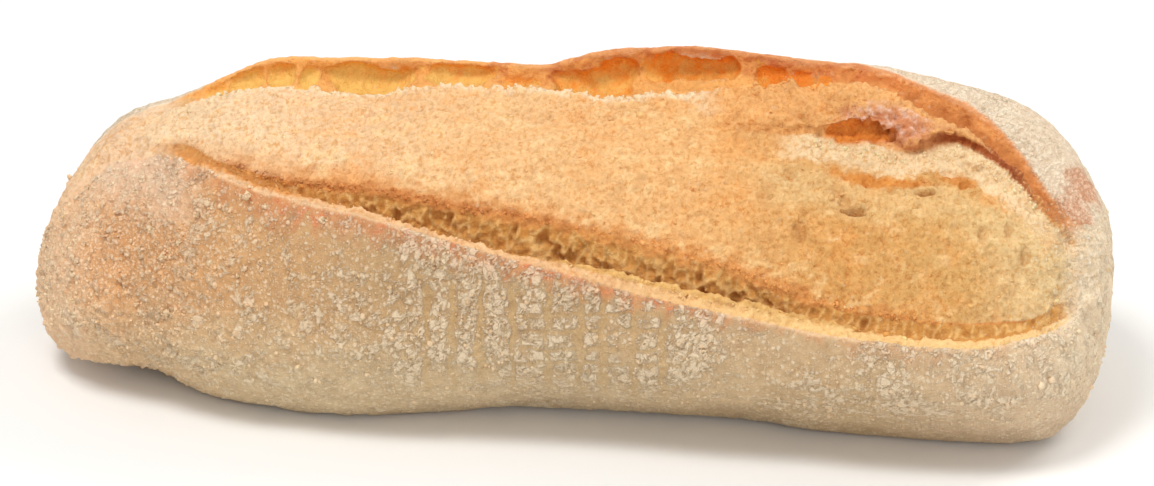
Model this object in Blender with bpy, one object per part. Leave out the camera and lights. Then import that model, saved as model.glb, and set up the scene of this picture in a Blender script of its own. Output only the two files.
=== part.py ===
"""A rustic sourdough roll: an oblong loaf with one long lengthwise cut, opened wide in the oven.

The roll lies along X with its cut's floured front lip towards -Y and its flat underside on z = 0.
Its skin is a sphere with its poles at the two tips. Each ring of the sphere becomes one section
of the loaf, and each segment keeps one place on that section: underside, front crust, lip,
crevice, bloom, step, ear wall, ear rim and back crust.
"""

import math

import bmesh
import bpy
import numpy as np
from mathutils import Vector, noise

MM = 0.001

# Driving sizes in millimetres. A table of stations gives a size at places along the length,
# measured from a mark near the middle of the roll, and a smooth curve runs through them.

LEFT_END = -83.8
RIGHT_END = 86.6
CAP_LENGTH = 14.0
CAP_ROUNDNESS = 2.6
LEFT_TIP = (-5.0, 12.0)
RIGHT_TIP = (1.0, 20.0)

UNDERSIDE_LIFT = ((-86, 2.4), (-66, 2.4), (-60, 1.4), (-56, 0.0), (86, 0.0))
FRONT_FOOT = (
    (-86, -16), (-62, -17.6), (-48, -22.4), (-33, -24.8), (-18, -21.6), (-1, -17.6), (27, -17),
    (46, -19.6), (65, -20.2), (76, -19), (86, -17),
)
BACK_FOOT = ((-86, 16), (-55, 21), (0, 22), (55, 22), (86, 16))
FRONT_BELLY = (
    (-86, -20), (-72, -25.5), (-60, -29), (-45, -33), (-28, -34), (0, -32.5), (30, -33.2),
    (55, -34), (72, -32), (86, -25),
)
BACK_BELLY = ((-86, 24), (-70, 29), (-45, 34), (0, 35), (45, 35), (72, 30), (86, 24))
BELLY_HEIGHT = 12.5

LIP_DEPTH = (
    (-86, -15), (-72, -10), (-63, -11), (-56, -16), (-43, -23), (-30, -27), (0, -30), (40, -31.5),
    (66, -30), (73, -26), (79, -23), (86, -22),
)
LIP_HEIGHT = (
    (-86, 25.5), (-76, 32), (-63, 37.3), (-56, 38.2), (-43, 37.2), (-30, 36.4), (-18, 34.2),
    (2, 30.2), (15, 27.4), (30, 24.9), (49, 22.2), (66, 21), (76, 21), (81, 23.5), (86, 27.5),
)
LIP_THICKNESS = ((-86, 1.2), (-56, 1.4), (-30, 1.7), (60, 2.2), (86, 1.4))

CREVICE_DEPTH = (
    (-62, 0.0), (-52, 0.8), (-36, 2.6), (-12, 5.0), (20, 5.6), (37, 4.8), (46, 2.2), (62, 0.7),
    (74, 0.0),
)

BLOOM_EDGE_DEPTH = (
    (-86, -13), (-72, -8), (-60, -9), (-51, -15.5), (-37, -20.8), (-13, -23), (7, -24),
    (27, -25.5), (42, -27.5), (60, -26.5), (73, -22.5), (86, -18.5),
)
BLOOM_EDGE_HEIGHT = (
    (-86, 26.5), (-76, 32.6), (-60, 38.5), (-51, 38.3), (-37, 37.6), (-26, 37.6), (-13, 36.4),
    (7, 34.4), (15, 32.6), (27, 30.6), (37, 27.5), (44, 25.6), (56, 23.9), (73, 22.5), (79, 24.5),
    (86, 30.5),
)
BLOOM_SWELL = (
    (-86, 0.9), (-60, 1.0), (-30, 1.2), (0, 2.4), (40, 3.2), (60, 4.2), (76, 3.2), (86, 1.0),
)

STEP_DEPTH = (
    (-86, -4), (-60, -1.5), (0, -1), (27, -1.5), (42, -0.6), (60, -0.4), (67, -1.8), (75, -5.4),
    (80, -8.5), (86, -9.5),
)
STEP_FOOT_HEIGHT = (
    (-86, 29), (-76, 33.8), (-60, 39.4), (-44, 42.2), (-34, 42), (-18, 43.4), (0, 42.6),
    (15, 42.6), (27, 41.6), (42, 40.0), (54, 38.4), (60, 39.4), (67, 37.6), (75, 32.6),
    (80, 30), (86, 33),
)
STEP_RISE = (
    (-86, 0.1), (22, 0.2), (31, 1.7), (44, 2.6), (60, 3.2), (70, 2.2), (78, 0.4), (86, 0.1),
)
STEP_OVERHANG = 0.5

BACK_EDGE_DEPTH = (
    (-86, 1), (-60, 6), (-20, 6.6), (15, 6.8), (42, 8), (52, 7), (64, 2.4), (73, -2.6), (80, -6.6),
    (86, -6.5),
)
BACK_EDGE_HEIGHT = (
    (-86, 29.2), (-76, 34), (-60, 39.6), (-53, 41.3), (-44, 42.4), (-34, 41.7), (-18, 44.2),
    (-5, 44.4), (5, 43.2), (17, 45), (33, 46.4), (42, 46.6), (52, 44.6), (64, 41.3), (73, 35.4),
    (80, 31), (86, 33.8),
)
BACK_CREASE = ((-86, 0.0), (-64, 0.0), (-50, 1.0), (30, 1.3), (42, 0.7), (58, 0.9), (74, 0.0))

RIM_DEPTH = (
    (-86, 4), (-63, 8.5), (-44, 11), (-34, 12), (45, 12), (52, 11), (58, 9.2), (64.5, 6.5),
    (70, 3.4), (76, -1.6), (80, -4.2), (86, -3),
)
RIM_HEIGHT = (
    (-86, 29.2), (-76, 34), (-63, 39.2), (-57, 42.2), (-50, 45.3), (-44, 46.4), (-35, 46.0),
    (-15, 46.6), (-6, 46.3), (1, 48.4), (7, 49.9), (17, 51), (26, 50.6), (36, 49.3), (45, 48.8),
    (52, 47.5), (58, 45.9), (64.5, 43.7), (70, 40.2), (76, 34.6), (80, 32), (86, 34.4),
)

CROWN_SETBACK = ((-86, 5), (45, 5), (58, 4.4), (64, 6), (70, 8.5), (77, 12.5), (86, 13))
CROWN_HEIGHT = (
    (-86, 28), (-76, 33.4), (-63, 38), (-50, 43), (-35, 43.8), (-6, 44.3), (7, 47.4),
    (17, 48.8), (36, 47.5), (55, 47.3), (64, 46.3), (70.5, 43.9), (77, 40.2), (86, 35),
)

# How the points between the stations' curves lie: sizes in millimetres, or shares of the way
# from one curve to the next.
BACK_BELLY_RISE = 3.0
FOOT_ROLL = np.array([3.4, 2.0])
LIP_CURL = 0.3
CREVICE_SHARE = 0.35
STEP_RUN = 1.0
STEP_LIFT = 0.2
STEP_DEEPEST_OVERHANG = 1.0
FLAP_SWELL = 0.1
CREASE_SHARE = 0.45
CREASE_HOLLOW = 0.3
WALL_MIDDLE_SHARE = 0.65
WALL_MIDDLE_LOW = 0.4
FRONT_SHOULDER_OUT = 0.6
FRONT_SHOULDER_SHARE = 0.28
FRONT_SHOULDER_UP = 0.58
BACK_SHOULDER_SHARE = 0.72
BACK_SHOULDER_DROP = 0.34

# The row of opened bubbles under the ear: middle along the length, half length and depth.
BUBBLES = (
    (-50, 4.0, 1.1), (-41, 2.8, 1.3), (-30, 8.0, 2.2), (-17, 6.5, 1.7), (-3, 4.5, 1.4),
    (7, 4.6, 2.4), (19, 7.5, 3.0), (31, 4.2, 2.0), (38, 3.0, 1.2),
)

# The blistered lump beside the ear where the cut tore a second time.
LUMP_CENTRE = (48.0, 4.5)
LUMP_RADII = (8.0, 4.5)
LUMP_RISE = 2.6
LUMP_STEEPNESS = 1.6
LUMP_LOWEST = 35.0

# The loaf is never quite even: long soft waves over the crust.
WAVE_LENGTH = 17.0
WAVE_HEIGHT = 0.55
WAVE_CENTRE = (1.0, 20.0)
FLAT_UP_TO = 1.0
FADE_HEIGHT = 4.0

# The skin's net: sections along the length, and how the points of a section share out.
SECTIONS = 84
CAP_SECTIONS = 9
UNDERSIDE_STEPS = 7
FRONT_STEPS = 11
LIP_STEPS = 2
CREVICE_STEPS = 2
TORN_WALL_STEPS = 3
BLOOM_STEPS = 8
STEP_STEPS = 1
FLAP_STEPS = 4
CREASE_STEPS = 1
EAR_WALL_STEPS = 4
BACK_STEPS = 13
SECTION_POINTS = (
    UNDERSIDE_STEPS + FRONT_STEPS + LIP_STEPS + CREVICE_STEPS + TORN_WALL_STEPS + BLOOM_STEPS
    + STEP_STEPS + FLAP_STEPS + CREASE_STEPS + EAR_WALL_STEPS + BACK_STEPS
)

CRUST_COLOUR = (0.62, 0.40, 0.20, 1.0)
CRUST_ROUGHNESS = 0.8


def along(x, stations):
    """The size at x, on a smooth curve through the stations."""
    places = [s[0] for s in stations]
    sizes = [s[1] for s in stations]
    if x <= places[0]:
        return sizes[0]
    if x >= places[-1]:
        return sizes[-1]
    last = len(places) - 1
    i = max(k for k in range(last) if places[k] <= x)
    span = places[i + 1] - places[i]
    t = (x - places[i]) / span

    def slope(k):
        if k in (0, last):
            return 0.0
        before = (sizes[k] - sizes[k - 1]) / (places[k] - places[k - 1])
        after = (sizes[k + 1] - sizes[k]) / (places[k + 1] - places[k])
        if before * after <= 0:
            return 0.0
        return 2 * before * after / (before + after)

    rise = 3 * t**2 - 2 * t**3
    start_pull = t**3 - 2 * t**2 + t
    end_pull = t**3 - t**2
    pull = start_pull * slope(i) + end_pull * slope(i + 1)
    return sizes[i] * (1 - rise) + sizes[i + 1] * rise + pull * span


def bow(points, steps):
    """Points at even steps on a smooth curve through the given ones, without the last."""
    given = [np.array(p, dtype=float) for p in points]
    ends = [2 * given[0] - given[1]] + given + [2 * given[-1] - given[-2]]
    lengths = [np.linalg.norm(b - a) for a, b in zip(given, given[1:])]
    starts = np.concatenate([[0.0], np.cumsum(lengths)])
    found = []
    for step in range(steps):
        place = starts[-1] * step / steps
        k = min(int(np.searchsorted(starts, place, side="right")) - 1, len(lengths) - 1)
        t = (place - starts[k]) / lengths[k]
        before, a, b, after = ends[k : k + 4]
        found.append(
            a
            + 0.5 * t * (b - before)
            + t**2 * (before - 2.5 * a + 2 * b - 0.5 * after)
            + 0.5 * t**3 * (3 * (a - b) + after - before)
        )
    return found


def straight(a, b, steps):
    """Points at even steps from a towards b, without b."""
    a = np.array(a, dtype=float)
    b = np.array(b, dtype=float)
    return [a + (b - a) * step / steps for step in range(steps)]


def bubble_depth(x):
    """How deep the ear's wall is hollowed at x."""
    depths = [
        depth * math.sqrt(max(0.0, 1 - ((x - middle) / half) ** 2))
        for middle, half, depth in BUBBLES
    ]
    return max(depths)


def between(a, b, share):
    """The number or point this share of the way from a to b."""
    return np.add(a, np.multiply(np.subtract(b, a), share))


def section(x):
    """The loaf's section at x, as (y, z) points in order round it, in millimetres."""
    ground = along(x, UNDERSIDE_LIFT)
    front_foot = np.array([along(x, FRONT_FOOT), ground])
    back_foot = np.array([along(x, BACK_FOOT), ground])
    front_roll = front_foot + FOOT_ROLL * (-1, 1)
    back_roll = back_foot + FOOT_ROLL
    front_belly = (along(x, FRONT_BELLY), BELLY_HEIGHT + ground / 2)
    back_belly = (along(x, BACK_BELLY), BELLY_HEIGHT + BACK_BELLY_RISE)

    lip = (along(x, LIP_DEPTH), along(x, LIP_HEIGHT))
    lip_inner = (lip[0] + along(x, LIP_THICKNESS), lip[1] + LIP_CURL)
    bloom_edge = (along(x, BLOOM_EDGE_DEPTH), along(x, BLOOM_EDGE_HEIGHT))
    crevice = (
        between(lip_inner[0], bloom_edge[0], CREVICE_SHARE),
        lip_inner[1] - along(x, CREVICE_DEPTH),
    )
    front_shoulder = (
        between(front_belly[0], lip[0], FRONT_SHOULDER_SHARE) - FRONT_SHOULDER_OUT,
        between(front_belly[1], lip[1], FRONT_SHOULDER_UP),
    )

    rise = along(x, STEP_RISE)
    overhang = min(STEP_OVERHANG * rise, STEP_DEEPEST_OVERHANG)
    step_foot = (along(x, STEP_DEPTH), along(x, STEP_FOOT_HEIGHT))
    step_top = (step_foot[0] + STEP_RUN - overhang, step_foot[1] + STEP_LIFT + rise)
    swell = along(x, BLOOM_SWELL)
    across = np.subtract(step_foot, bloom_edge)
    outward = np.array([-across[1], across[0]]) / np.linalg.norm(across)
    bloom_middle = between(bloom_edge, step_foot, 0.5) + outward * swell

    hollow = bubble_depth(x)
    back_edge = (along(x, BACK_EDGE_DEPTH), along(x, BACK_EDGE_HEIGHT))
    rim = (along(x, RIM_DEPTH), along(x, RIM_HEIGHT))
    flap_middle = between(step_top, back_edge, 0.5) + (0, FLAP_SWELL * swell)
    crease = (
        between(back_edge[0], rim[0], CREASE_SHARE) + CREASE_HOLLOW * hollow,
        back_edge[1] - along(x, BACK_CREASE),
    )
    wall_middle = (
        between(crease[0], rim[0], WALL_MIDDLE_SHARE) + hollow,
        between(crease[1], rim[1], WALL_MIDDLE_LOW),
    )

    crown = (rim[0] + along(x, CROWN_SETBACK), along(x, CROWN_HEIGHT))
    back_shoulder = (
        between(crown[0], back_belly[0], BACK_SHOULDER_SHARE),
        between(crown[1], back_belly[1], BACK_SHOULDER_DROP),
    )

    return (
        straight(back_foot, front_foot, UNDERSIDE_STEPS)
        + bow([front_foot, front_roll, front_belly, front_shoulder, lip], FRONT_STEPS)
        + straight(lip, lip_inner, LIP_STEPS)
        + straight(lip_inner, crevice, CREVICE_STEPS)
        + straight(crevice, bloom_edge, TORN_WALL_STEPS)
        + bow([bloom_edge, bloom_middle, step_foot], BLOOM_STEPS)
        + straight(step_foot, step_top, STEP_STEPS)
        + bow([step_top, flap_middle, back_edge], FLAP_STEPS)
        + straight(back_edge, crease, CREASE_STEPS)
        + bow([crease, wall_middle, rim], EAR_WALL_STEPS)
        + bow([rim, crown, back_shoulder, back_belly, back_roll, back_foot], BACK_STEPS)
    )


def section_place(index):
    """Where section number `index` stands along the length, closer together at the ends."""
    if index <= CAP_SECTIONS:
        turn = math.pi / 2 * (1 - index / CAP_SECTIONS)
        return LEFT_END + CAP_LENGTH * (1 - math.sin(turn))
    if index >= SECTIONS - CAP_SECTIONS:
        turn = math.pi / 2 * (1 - (SECTIONS - index) / CAP_SECTIONS)
        return RIGHT_END - CAP_LENGTH * (1 - math.sin(turn))
    share = (index - CAP_SECTIONS) / (SECTIONS - 2 * CAP_SECTIONS)
    body_start = LEFT_END + CAP_LENGTH
    body_end = RIGHT_END - CAP_LENGTH
    return body_start + (body_end - body_start) * share


def cap_share(x):
    """How much of its full section the loaf has at x: 1 along the body, 0 at either end."""
    to_end = min(x - LEFT_END, RIGHT_END - x)
    into_cap = max(0.0, 1 - to_end / CAP_LENGTH)
    return max(0.0, 1 - into_cap**CAP_ROUNDNESS) ** (1 / CAP_ROUNDNESS)


def uneven(point):
    """Soft waves and the blistered lump, added to a point of the skin in millimetres."""
    x, y, z = point
    if z < FLAT_UP_TO:
        return point
    side = Vector((0.0, y - WAVE_CENTRE[0], z - WAVE_CENTRE[1])).normalized()
    wave = noise.noise(Vector((x, y, z)) / WAVE_LENGTH) * WAVE_HEIGHT
    away = math.hypot(
        (x - LUMP_CENTRE[0]) / LUMP_RADII[0], (y - LUMP_CENTRE[1]) / LUMP_RADII[1]
    )
    lump = LUMP_RISE * math.exp(-LUMP_STEEPNESS * away**2) if z > LUMP_LOWEST else 0.0
    fade = min(1.0, (z - FLAT_UP_TO) / FADE_HEIGHT)
    return (x, y + side.y * wave * fade, z + (side.z * wave + lump) * fade)


def make_skin():
    """A sphere laid along X, with every ring carried to its section of the loaf."""
    skin = bmesh.new()
    bmesh.ops.create_uvsphere(
        skin, u_segments=SECTION_POINTS, v_segments=SECTIONS, radius=1.0
    )
    places = [section_place(i) for i in range(SECTIONS + 1)]
    sections = [section(x) for x in places]
    for vert in skin.verts:
        ring = round(math.acos(max(-1.0, min(1.0, vert.co.z))) / math.pi * SECTIONS)
        turn = math.atan2(vert.co.y, vert.co.x) / (2 * math.pi)
        segment = round(turn * SECTION_POINTS) % SECTION_POINTS
        x = places[ring]
        tip = LEFT_TIP if x < 0 else RIGHT_TIP
        share = cap_share(x)
        y = tip[0] + (sections[ring][segment][0] - tip[0]) * share
        z = tip[1] + (sections[ring][segment][1] - tip[1]) * share
        vert.co = Vector(uneven((x, y, z)))
    if skin.calc_volume(signed=True) < 0:
        bmesh.ops.reverse_faces(skin, faces=skin.faces)
    return skin


def stand_on_ground(skin):
    """Moves the skin so that the middle of its box's underside is the origin, and scales to metres."""
    places = np.array([vert.co for vert in skin.verts])
    low = places.min(axis=0)
    high = places.max(axis=0)
    middle = Vector(((low[0] + high[0]) / 2, (low[1] + high[1]) / 2, low[2]))
    bmesh.ops.translate(skin, verts=skin.verts, vec=-middle)
    bmesh.ops.scale(skin, verts=skin.verts, vec=(MM, MM, MM))


def crust_material():
    material = bpy.data.materials.new("crust")
    material.use_nodes = True
    shader = material.node_tree.nodes["Principled BSDF"]
    shader.inputs["Base Color"].default_value = CRUST_COLOUR
    shader.inputs["Roughness"].default_value = CRUST_ROUGHNESS
    shader.inputs["Metallic"].default_value = 0.0
    return material


def make_roll(collection):
    skin = make_skin()
    stand_on_ground(skin)
    mesh = bpy.data.meshes.new("roll")
    skin.to_mesh(mesh)
    skin.free()
    mesh.shade_smooth()
    mesh.materials.append(crust_material())
    roll = bpy.data.objects.new("roll", mesh)
    collection.objects.link(roll)
    return roll


def main():
    for old in list(bpy.data.objects):
        bpy.data.objects.remove(old, do_unlink=True)
    collection = bpy.data.collections.new("sourdough_roll")
    bpy.context.scene.collection.children.link(collection)
    roll = make_roll(collection)
    print("roll size in mm:", [round(side / MM, 1) for side in roll.dimensions])


main()
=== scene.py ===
# %% [markdown]
# # A rustic sourdough roll
# A long roll, cut once along its length before baking. In the oven the cut tore open: a floured
# lip stayed in front, a wide golden bloom swelled out of the gap, and behind it the crust curled
# up into an ear with a row of burst bubbles under it. The packed solid already has that form.
# This script gives it the skin of the real thing: fine relief, torn crumb, flour and colour.

# %% Load the packed model
import bpy
import math
import numpy as np
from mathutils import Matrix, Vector, kdtree, noise


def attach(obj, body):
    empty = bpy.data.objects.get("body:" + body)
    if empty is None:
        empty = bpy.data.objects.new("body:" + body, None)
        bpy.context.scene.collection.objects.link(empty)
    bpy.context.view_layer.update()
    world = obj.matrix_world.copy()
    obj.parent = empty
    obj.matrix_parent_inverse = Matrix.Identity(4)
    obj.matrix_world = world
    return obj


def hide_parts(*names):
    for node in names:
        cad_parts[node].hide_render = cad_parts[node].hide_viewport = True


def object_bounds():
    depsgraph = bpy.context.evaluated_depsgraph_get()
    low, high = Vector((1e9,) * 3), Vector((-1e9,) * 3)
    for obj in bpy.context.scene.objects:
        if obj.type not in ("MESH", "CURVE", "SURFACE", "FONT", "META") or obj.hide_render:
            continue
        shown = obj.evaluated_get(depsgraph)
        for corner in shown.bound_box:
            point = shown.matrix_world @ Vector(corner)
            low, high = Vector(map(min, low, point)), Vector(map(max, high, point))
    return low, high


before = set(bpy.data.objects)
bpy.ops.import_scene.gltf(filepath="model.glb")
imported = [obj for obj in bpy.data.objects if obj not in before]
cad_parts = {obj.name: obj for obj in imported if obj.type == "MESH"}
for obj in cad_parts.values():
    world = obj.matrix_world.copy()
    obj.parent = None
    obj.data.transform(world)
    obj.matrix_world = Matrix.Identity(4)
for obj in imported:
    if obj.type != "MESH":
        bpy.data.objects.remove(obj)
cad_low, cad_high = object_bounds()
MM = 0.001
bpy.ops.object.select_all(action="DESELECT")
print("the roll's box in mm:", [round(side / MM, 1) for side in cad_high - cad_low])

# %% [markdown]
# ## The camera
# The photograph looks down at the roll from the front at about 24 degrees, from a little towards
# its right end, with a long lens: the far end is hardly smaller than the near one. A camera is
# placed on a ray from the point it looks at, so that turning or raising it keeps the roll in frame.

# %% Set the camera
PHOTO_WIDTH = 1154
LOOK_AT = Vector((0.6, -0.4, 21.0)) * MM
CAMERA_TURN = math.radians(8.0)
CAMERA_RISE = math.radians(24.0)
CAMERA_DISTANCE = 620 * MM
PIXELS_PER_MM = 6.3
SENSOR_WIDTH = 36.0

toward_camera = Vector((
    math.sin(CAMERA_TURN) * math.cos(CAMERA_RISE),
    -math.cos(CAMERA_TURN) * math.cos(CAMERA_RISE),
    math.sin(CAMERA_RISE),
))
camera_data = bpy.data.cameras.new("camera")
camera_data.sensor_width = SENSOR_WIDTH
camera_data.lens = SENSOR_WIDTH * PIXELS_PER_MM * CAMERA_DISTANCE / MM / PHOTO_WIDTH
camera = bpy.data.objects.new("camera", camera_data)
bpy.context.scene.collection.objects.link(camera)
camera.location = LOOK_AT + toward_camera * CAMERA_DISTANCE
camera.rotation_euler = toward_camera.to_track_quat("Z", "Y").to_euler()
bpy.context.scene.camera = camera
print("lens in mm:", round(camera_data.lens, 1))

# %% [markdown]
# ## Light and floor
# The photograph has the even light of a studio tent: bright from above and behind the left
# shoulder, with enough white all round to keep the shadows thin. A large square lamp overhead,
# two weaker ones, in front and behind the right end, and a white world give that. The floor is
# plain and nearly white.

# %% Set the lights and the floor
WORLD_STRENGTH = 0.49
LAMPS = {
    # name: place in metres, side in metres, watts, colour
    "key": ((-0.22, -0.22, 0.75), 0.28, 3.7, (1.0, 0.985, 0.96)),
    "fill": ((0.40, -0.80, 0.35), 0.40, 2.1, (1.0, 0.99, 0.98)),
    "back": ((0.45, 0.40, 0.50), 0.36, 2.3, (1.0, 0.98, 0.95)),
}
FLOOR_SIDE = 6.0


def add_lamp(name, place, side, watts, colour):
    lamp = bpy.data.lights.new(name, "AREA")
    lamp.size = side
    lamp.energy = watts
    lamp.color = colour
    holder = bpy.data.objects.new(name, lamp)
    holder.location = place
    holder.rotation_euler = (Vector(place) - LOOK_AT).to_track_quat("Z", "Y").to_euler()
    bpy.context.scene.collection.objects.link(holder)


for lamp_name, facts in LAMPS.items():
    add_lamp(lamp_name, *facts)

world = bpy.data.worlds.new("studio")
world.use_nodes = True
world.node_tree.nodes["Background"].inputs["Color"].default_value = (1.0, 1.0, 1.0, 1.0)
world.node_tree.nodes["Background"].inputs["Strength"].default_value = WORLD_STRENGTH
bpy.context.scene.world = world
bpy.context.scene.view_settings.view_transform = "Standard"

bpy.ops.mesh.primitive_plane_add(size=FLOOR_SIDE, location=(0, 0, -0.05 * MM))
floor = bpy.context.object
floor.name = "floor"
floor_material = bpy.data.materials.new("floor_paper")
floor_material.use_nodes = True
paper = floor_material.node_tree.nodes["Principled BSDF"]
paper.inputs["Base Color"].default_value = (0.9, 0.9, 0.89, 1.0)
paper.inputs["Roughness"].default_value = 0.9
floor.data.materials.append(floor_material)

# %% [markdown]
# ## The landmarks of the loaf
# Everything on this roll follows a few lines that run along its length: the lip's outer and
# inner edge, the bottom of the crevice, the edge of the bloom above it, the second tear, the
# bloom's back edge and the ear's rim. They are the sizes that the solid was built from, in
# millimetres, from a mark near the middle. Each is a smooth curve through a few stations, so any
# point of the skin can be told which strip of the loaf it lies on and how far it is from a line.

# %% Write down the landmark lines
MARK_X = -1.4
MARK_Y = -0.4
LEFT_END = -83.8
RIGHT_END = 86.6
CAP_LENGTH = 14.0
CAP_ROUNDNESS = 2.6
LEFT_TIP = (-5.0, 12.0)
RIGHT_TIP = (1.0, 20.0)

FRONT_FOOT = (
    (-86, -16), (-62, -17.6), (-48, -22.4), (-33, -24.8), (-18, -21.6), (-1, -17.6), (27, -17),
    (46, -19.6), (65, -20.2), (76, -19), (86, -17),
)
FRONT_BELLY = (
    (-86, -20), (-72, -25.5), (-60, -29), (-45, -33), (-28, -34), (0, -32.5), (30, -33.2),
    (55, -34), (72, -32), (86, -25),
)
BELLY_HEIGHT = 12.5
LIP_DEPTH = (
    (-86, -15), (-72, -10), (-63, -11), (-56, -16), (-43, -23), (-30, -27), (0, -30), (40, -31.5),
    (66, -30), (73, -26), (79, -23), (86, -22),
)
LIP_HEIGHT = (
    (-86, 25.5), (-76, 32), (-63, 37.3), (-56, 38.2), (-43, 37.2), (-30, 36.4), (-18, 34.2),
    (2, 30.2), (15, 27.4), (30, 24.9), (49, 22.2), (66, 21), (76, 21), (81, 23.5), (86, 27.5),
)
LIP_THICKNESS = ((-86, 1.2), (-56, 1.4), (-30, 1.7), (60, 2.2), (86, 1.4))
CREVICE_DEPTH = (
    (-62, 0.0), (-52, 0.8), (-36, 2.6), (-12, 5.0), (20, 5.6), (37, 4.8), (46, 2.2), (62, 0.7),
    (74, 0.0),
)
BLOOM_EDGE_DEPTH = (
    (-86, -13), (-72, -8), (-60, -9), (-51, -15.5), (-37, -20.8), (-13, -23), (7, -24),
    (27, -25.5), (42, -27.5), (60, -26.5), (73, -22.5), (86, -18.5),
)
BLOOM_EDGE_HEIGHT = (
    (-86, 26.5), (-76, 32.6), (-60, 38.5), (-51, 38.3), (-37, 37.6), (-26, 37.6), (-13, 36.4),
    (7, 34.4), (15, 32.6), (27, 30.6), (37, 27.5), (44, 25.6), (56, 23.9), (73, 22.5), (79, 24.5),
    (86, 30.5),
)
BLOOM_SWELL = (
    (-86, 0.9), (-60, 1.0), (-30, 1.2), (0, 2.4), (40, 3.2), (60, 4.2), (76, 3.2), (86, 1.0),
)
STEP_DEPTH = (
    (-86, -4), (-60, -1.5), (0, -1), (27, -1.5), (42, -0.6), (60, -0.4), (67, -1.8), (75, -5.4),
    (80, -8.5), (86, -9.5),
)
STEP_FOOT_HEIGHT = (
    (-86, 29), (-76, 33.8), (-60, 39.4), (-44, 42.2), (-34, 42), (-18, 43.4), (0, 42.6),
    (15, 42.6), (27, 41.6), (42, 40.0), (54, 38.4), (60, 39.4), (67, 37.6), (75, 32.6),
    (80, 30), (86, 33),
)
STEP_RISE = (
    (-86, 0.1), (22, 0.2), (31, 1.7), (44, 2.6), (60, 3.2), (70, 2.2), (78, 0.4), (86, 0.1),
)
BACK_EDGE_DEPTH = (
    (-86, 1), (-60, 6), (-20, 6.6), (15, 6.8), (42, 8), (52, 7), (64, 2.4), (73, -2.6), (80, -6.6),
    (86, -6.5),
)
BACK_EDGE_HEIGHT = (
    (-86, 29.2), (-76, 34), (-60, 39.6), (-53, 41.3), (-44, 42.4), (-34, 41.7), (-18, 44.2),
    (-5, 44.4), (5, 43.2), (17, 45), (33, 46.4), (42, 46.6), (52, 44.6), (64, 41.3), (73, 35.4),
    (80, 31), (86, 33.8),
)
BACK_CREASE = ((-86, 0.0), (-64, 0.0), (-50, 1.0), (30, 1.3), (42, 0.7), (58, 0.9), (74, 0.0))
RIM_DEPTH = (
    (-86, 4), (-63, 8.5), (-44, 11), (-34, 12), (45, 12), (52, 11), (58, 9.2), (64.5, 6.5),
    (70, 3.4), (76, -1.6), (80, -4.2), (86, -3),
)
RIM_HEIGHT = (
    (-86, 29.2), (-76, 34), (-63, 39.2), (-57, 42.2), (-50, 45.3), (-44, 46.4), (-35, 46.0),
    (-15, 46.6), (-6, 46.3), (1, 48.4), (7, 49.9), (17, 51), (26, 50.6), (36, 49.3), (45, 48.8),
    (52, 47.5), (58, 45.9), (64.5, 43.7), (70, 40.2), (76, 34.6), (80, 32), (86, 34.4),
)
CROWN_SETBACK = ((-86, 5), (45, 5), (58, 4.4), (64, 6), (70, 8.5), (77, 12.5), (86, 13))
CROWN_HEIGHT = (
    (-86, 28), (-76, 33.4), (-63, 38), (-50, 43), (-35, 43.8), (-6, 44.3), (7, 47.4),
    (17, 48.8), (36, 47.5), (55, 47.3), (64, 46.3), (70.5, 43.9), (77, 40.2), (86, 35),
)
BACK_BELLY = ((-86, 24), (-70, 29), (-45, 34), (0, 35), (45, 35), (72, 30), (86, 24))
BACK_FOOT = ((-86, 16), (-55, 21), (0, 22), (55, 22), (86, 16))
print("the tables reach from", LEFT_END, "to", RIGHT_END, "mm")

# %% [markdown]
# ## From stations to sections
# Between its stations a line runs on a smooth curve, and towards either end the whole section
# shrinks to a tip. So every landmark point can be worked out at any place along the roll.

# %% Work out the landmark points


def along(x, stations):
    """Sizes at every x, on a curve through the stations that never overshoots them."""
    places, sizes = np.array(stations, float).T
    climb = np.diff(sizes) / np.diff(places)
    slope = np.zeros(len(places))
    product = climb[:-1] * climb[1:]
    total = climb[:-1] + climb[1:]
    slope[1:-1] = np.where(product > 0, 2 * product / np.where(total == 0, 1, total), 0)
    x = np.clip(x, places[0], places[-1])
    i = np.clip(np.searchsorted(places, x, side="right") - 1, 0, len(places) - 2)
    span = places[i + 1] - places[i]
    t = (x - places[i]) / span
    rise = 3 * t**2 - 2 * t**3
    pull = (t**3 - 2 * t**2 + t) * slope[i] + (t**3 - t**2) * slope[i + 1]
    return sizes[i] * (1 - rise) + sizes[i + 1] * rise + pull * span


def cap_share(x):
    """How much of its full section the loaf has at x: 1 along the body, 0 at either end."""
    to_end = np.minimum(x - LEFT_END, RIGHT_END - x)
    into_cap = np.clip(1 - to_end / CAP_LENGTH, 0, 1)
    return (1 - into_cap**CAP_ROUNDNESS) ** (1 / CAP_ROUNDNESS)


def between(a, b, share):
    return a + (b - a) * share


LINES = (
    "front_foot", "front_belly", "front_shoulder", "lip", "lip_inner", "crevice", "bloom_edge",
    "bloom_middle", "step_foot", "step_top", "back_edge", "crease", "wall_middle", "rim", "crown",
    "back_shoulder", "back_belly", "back_foot",
)


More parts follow.
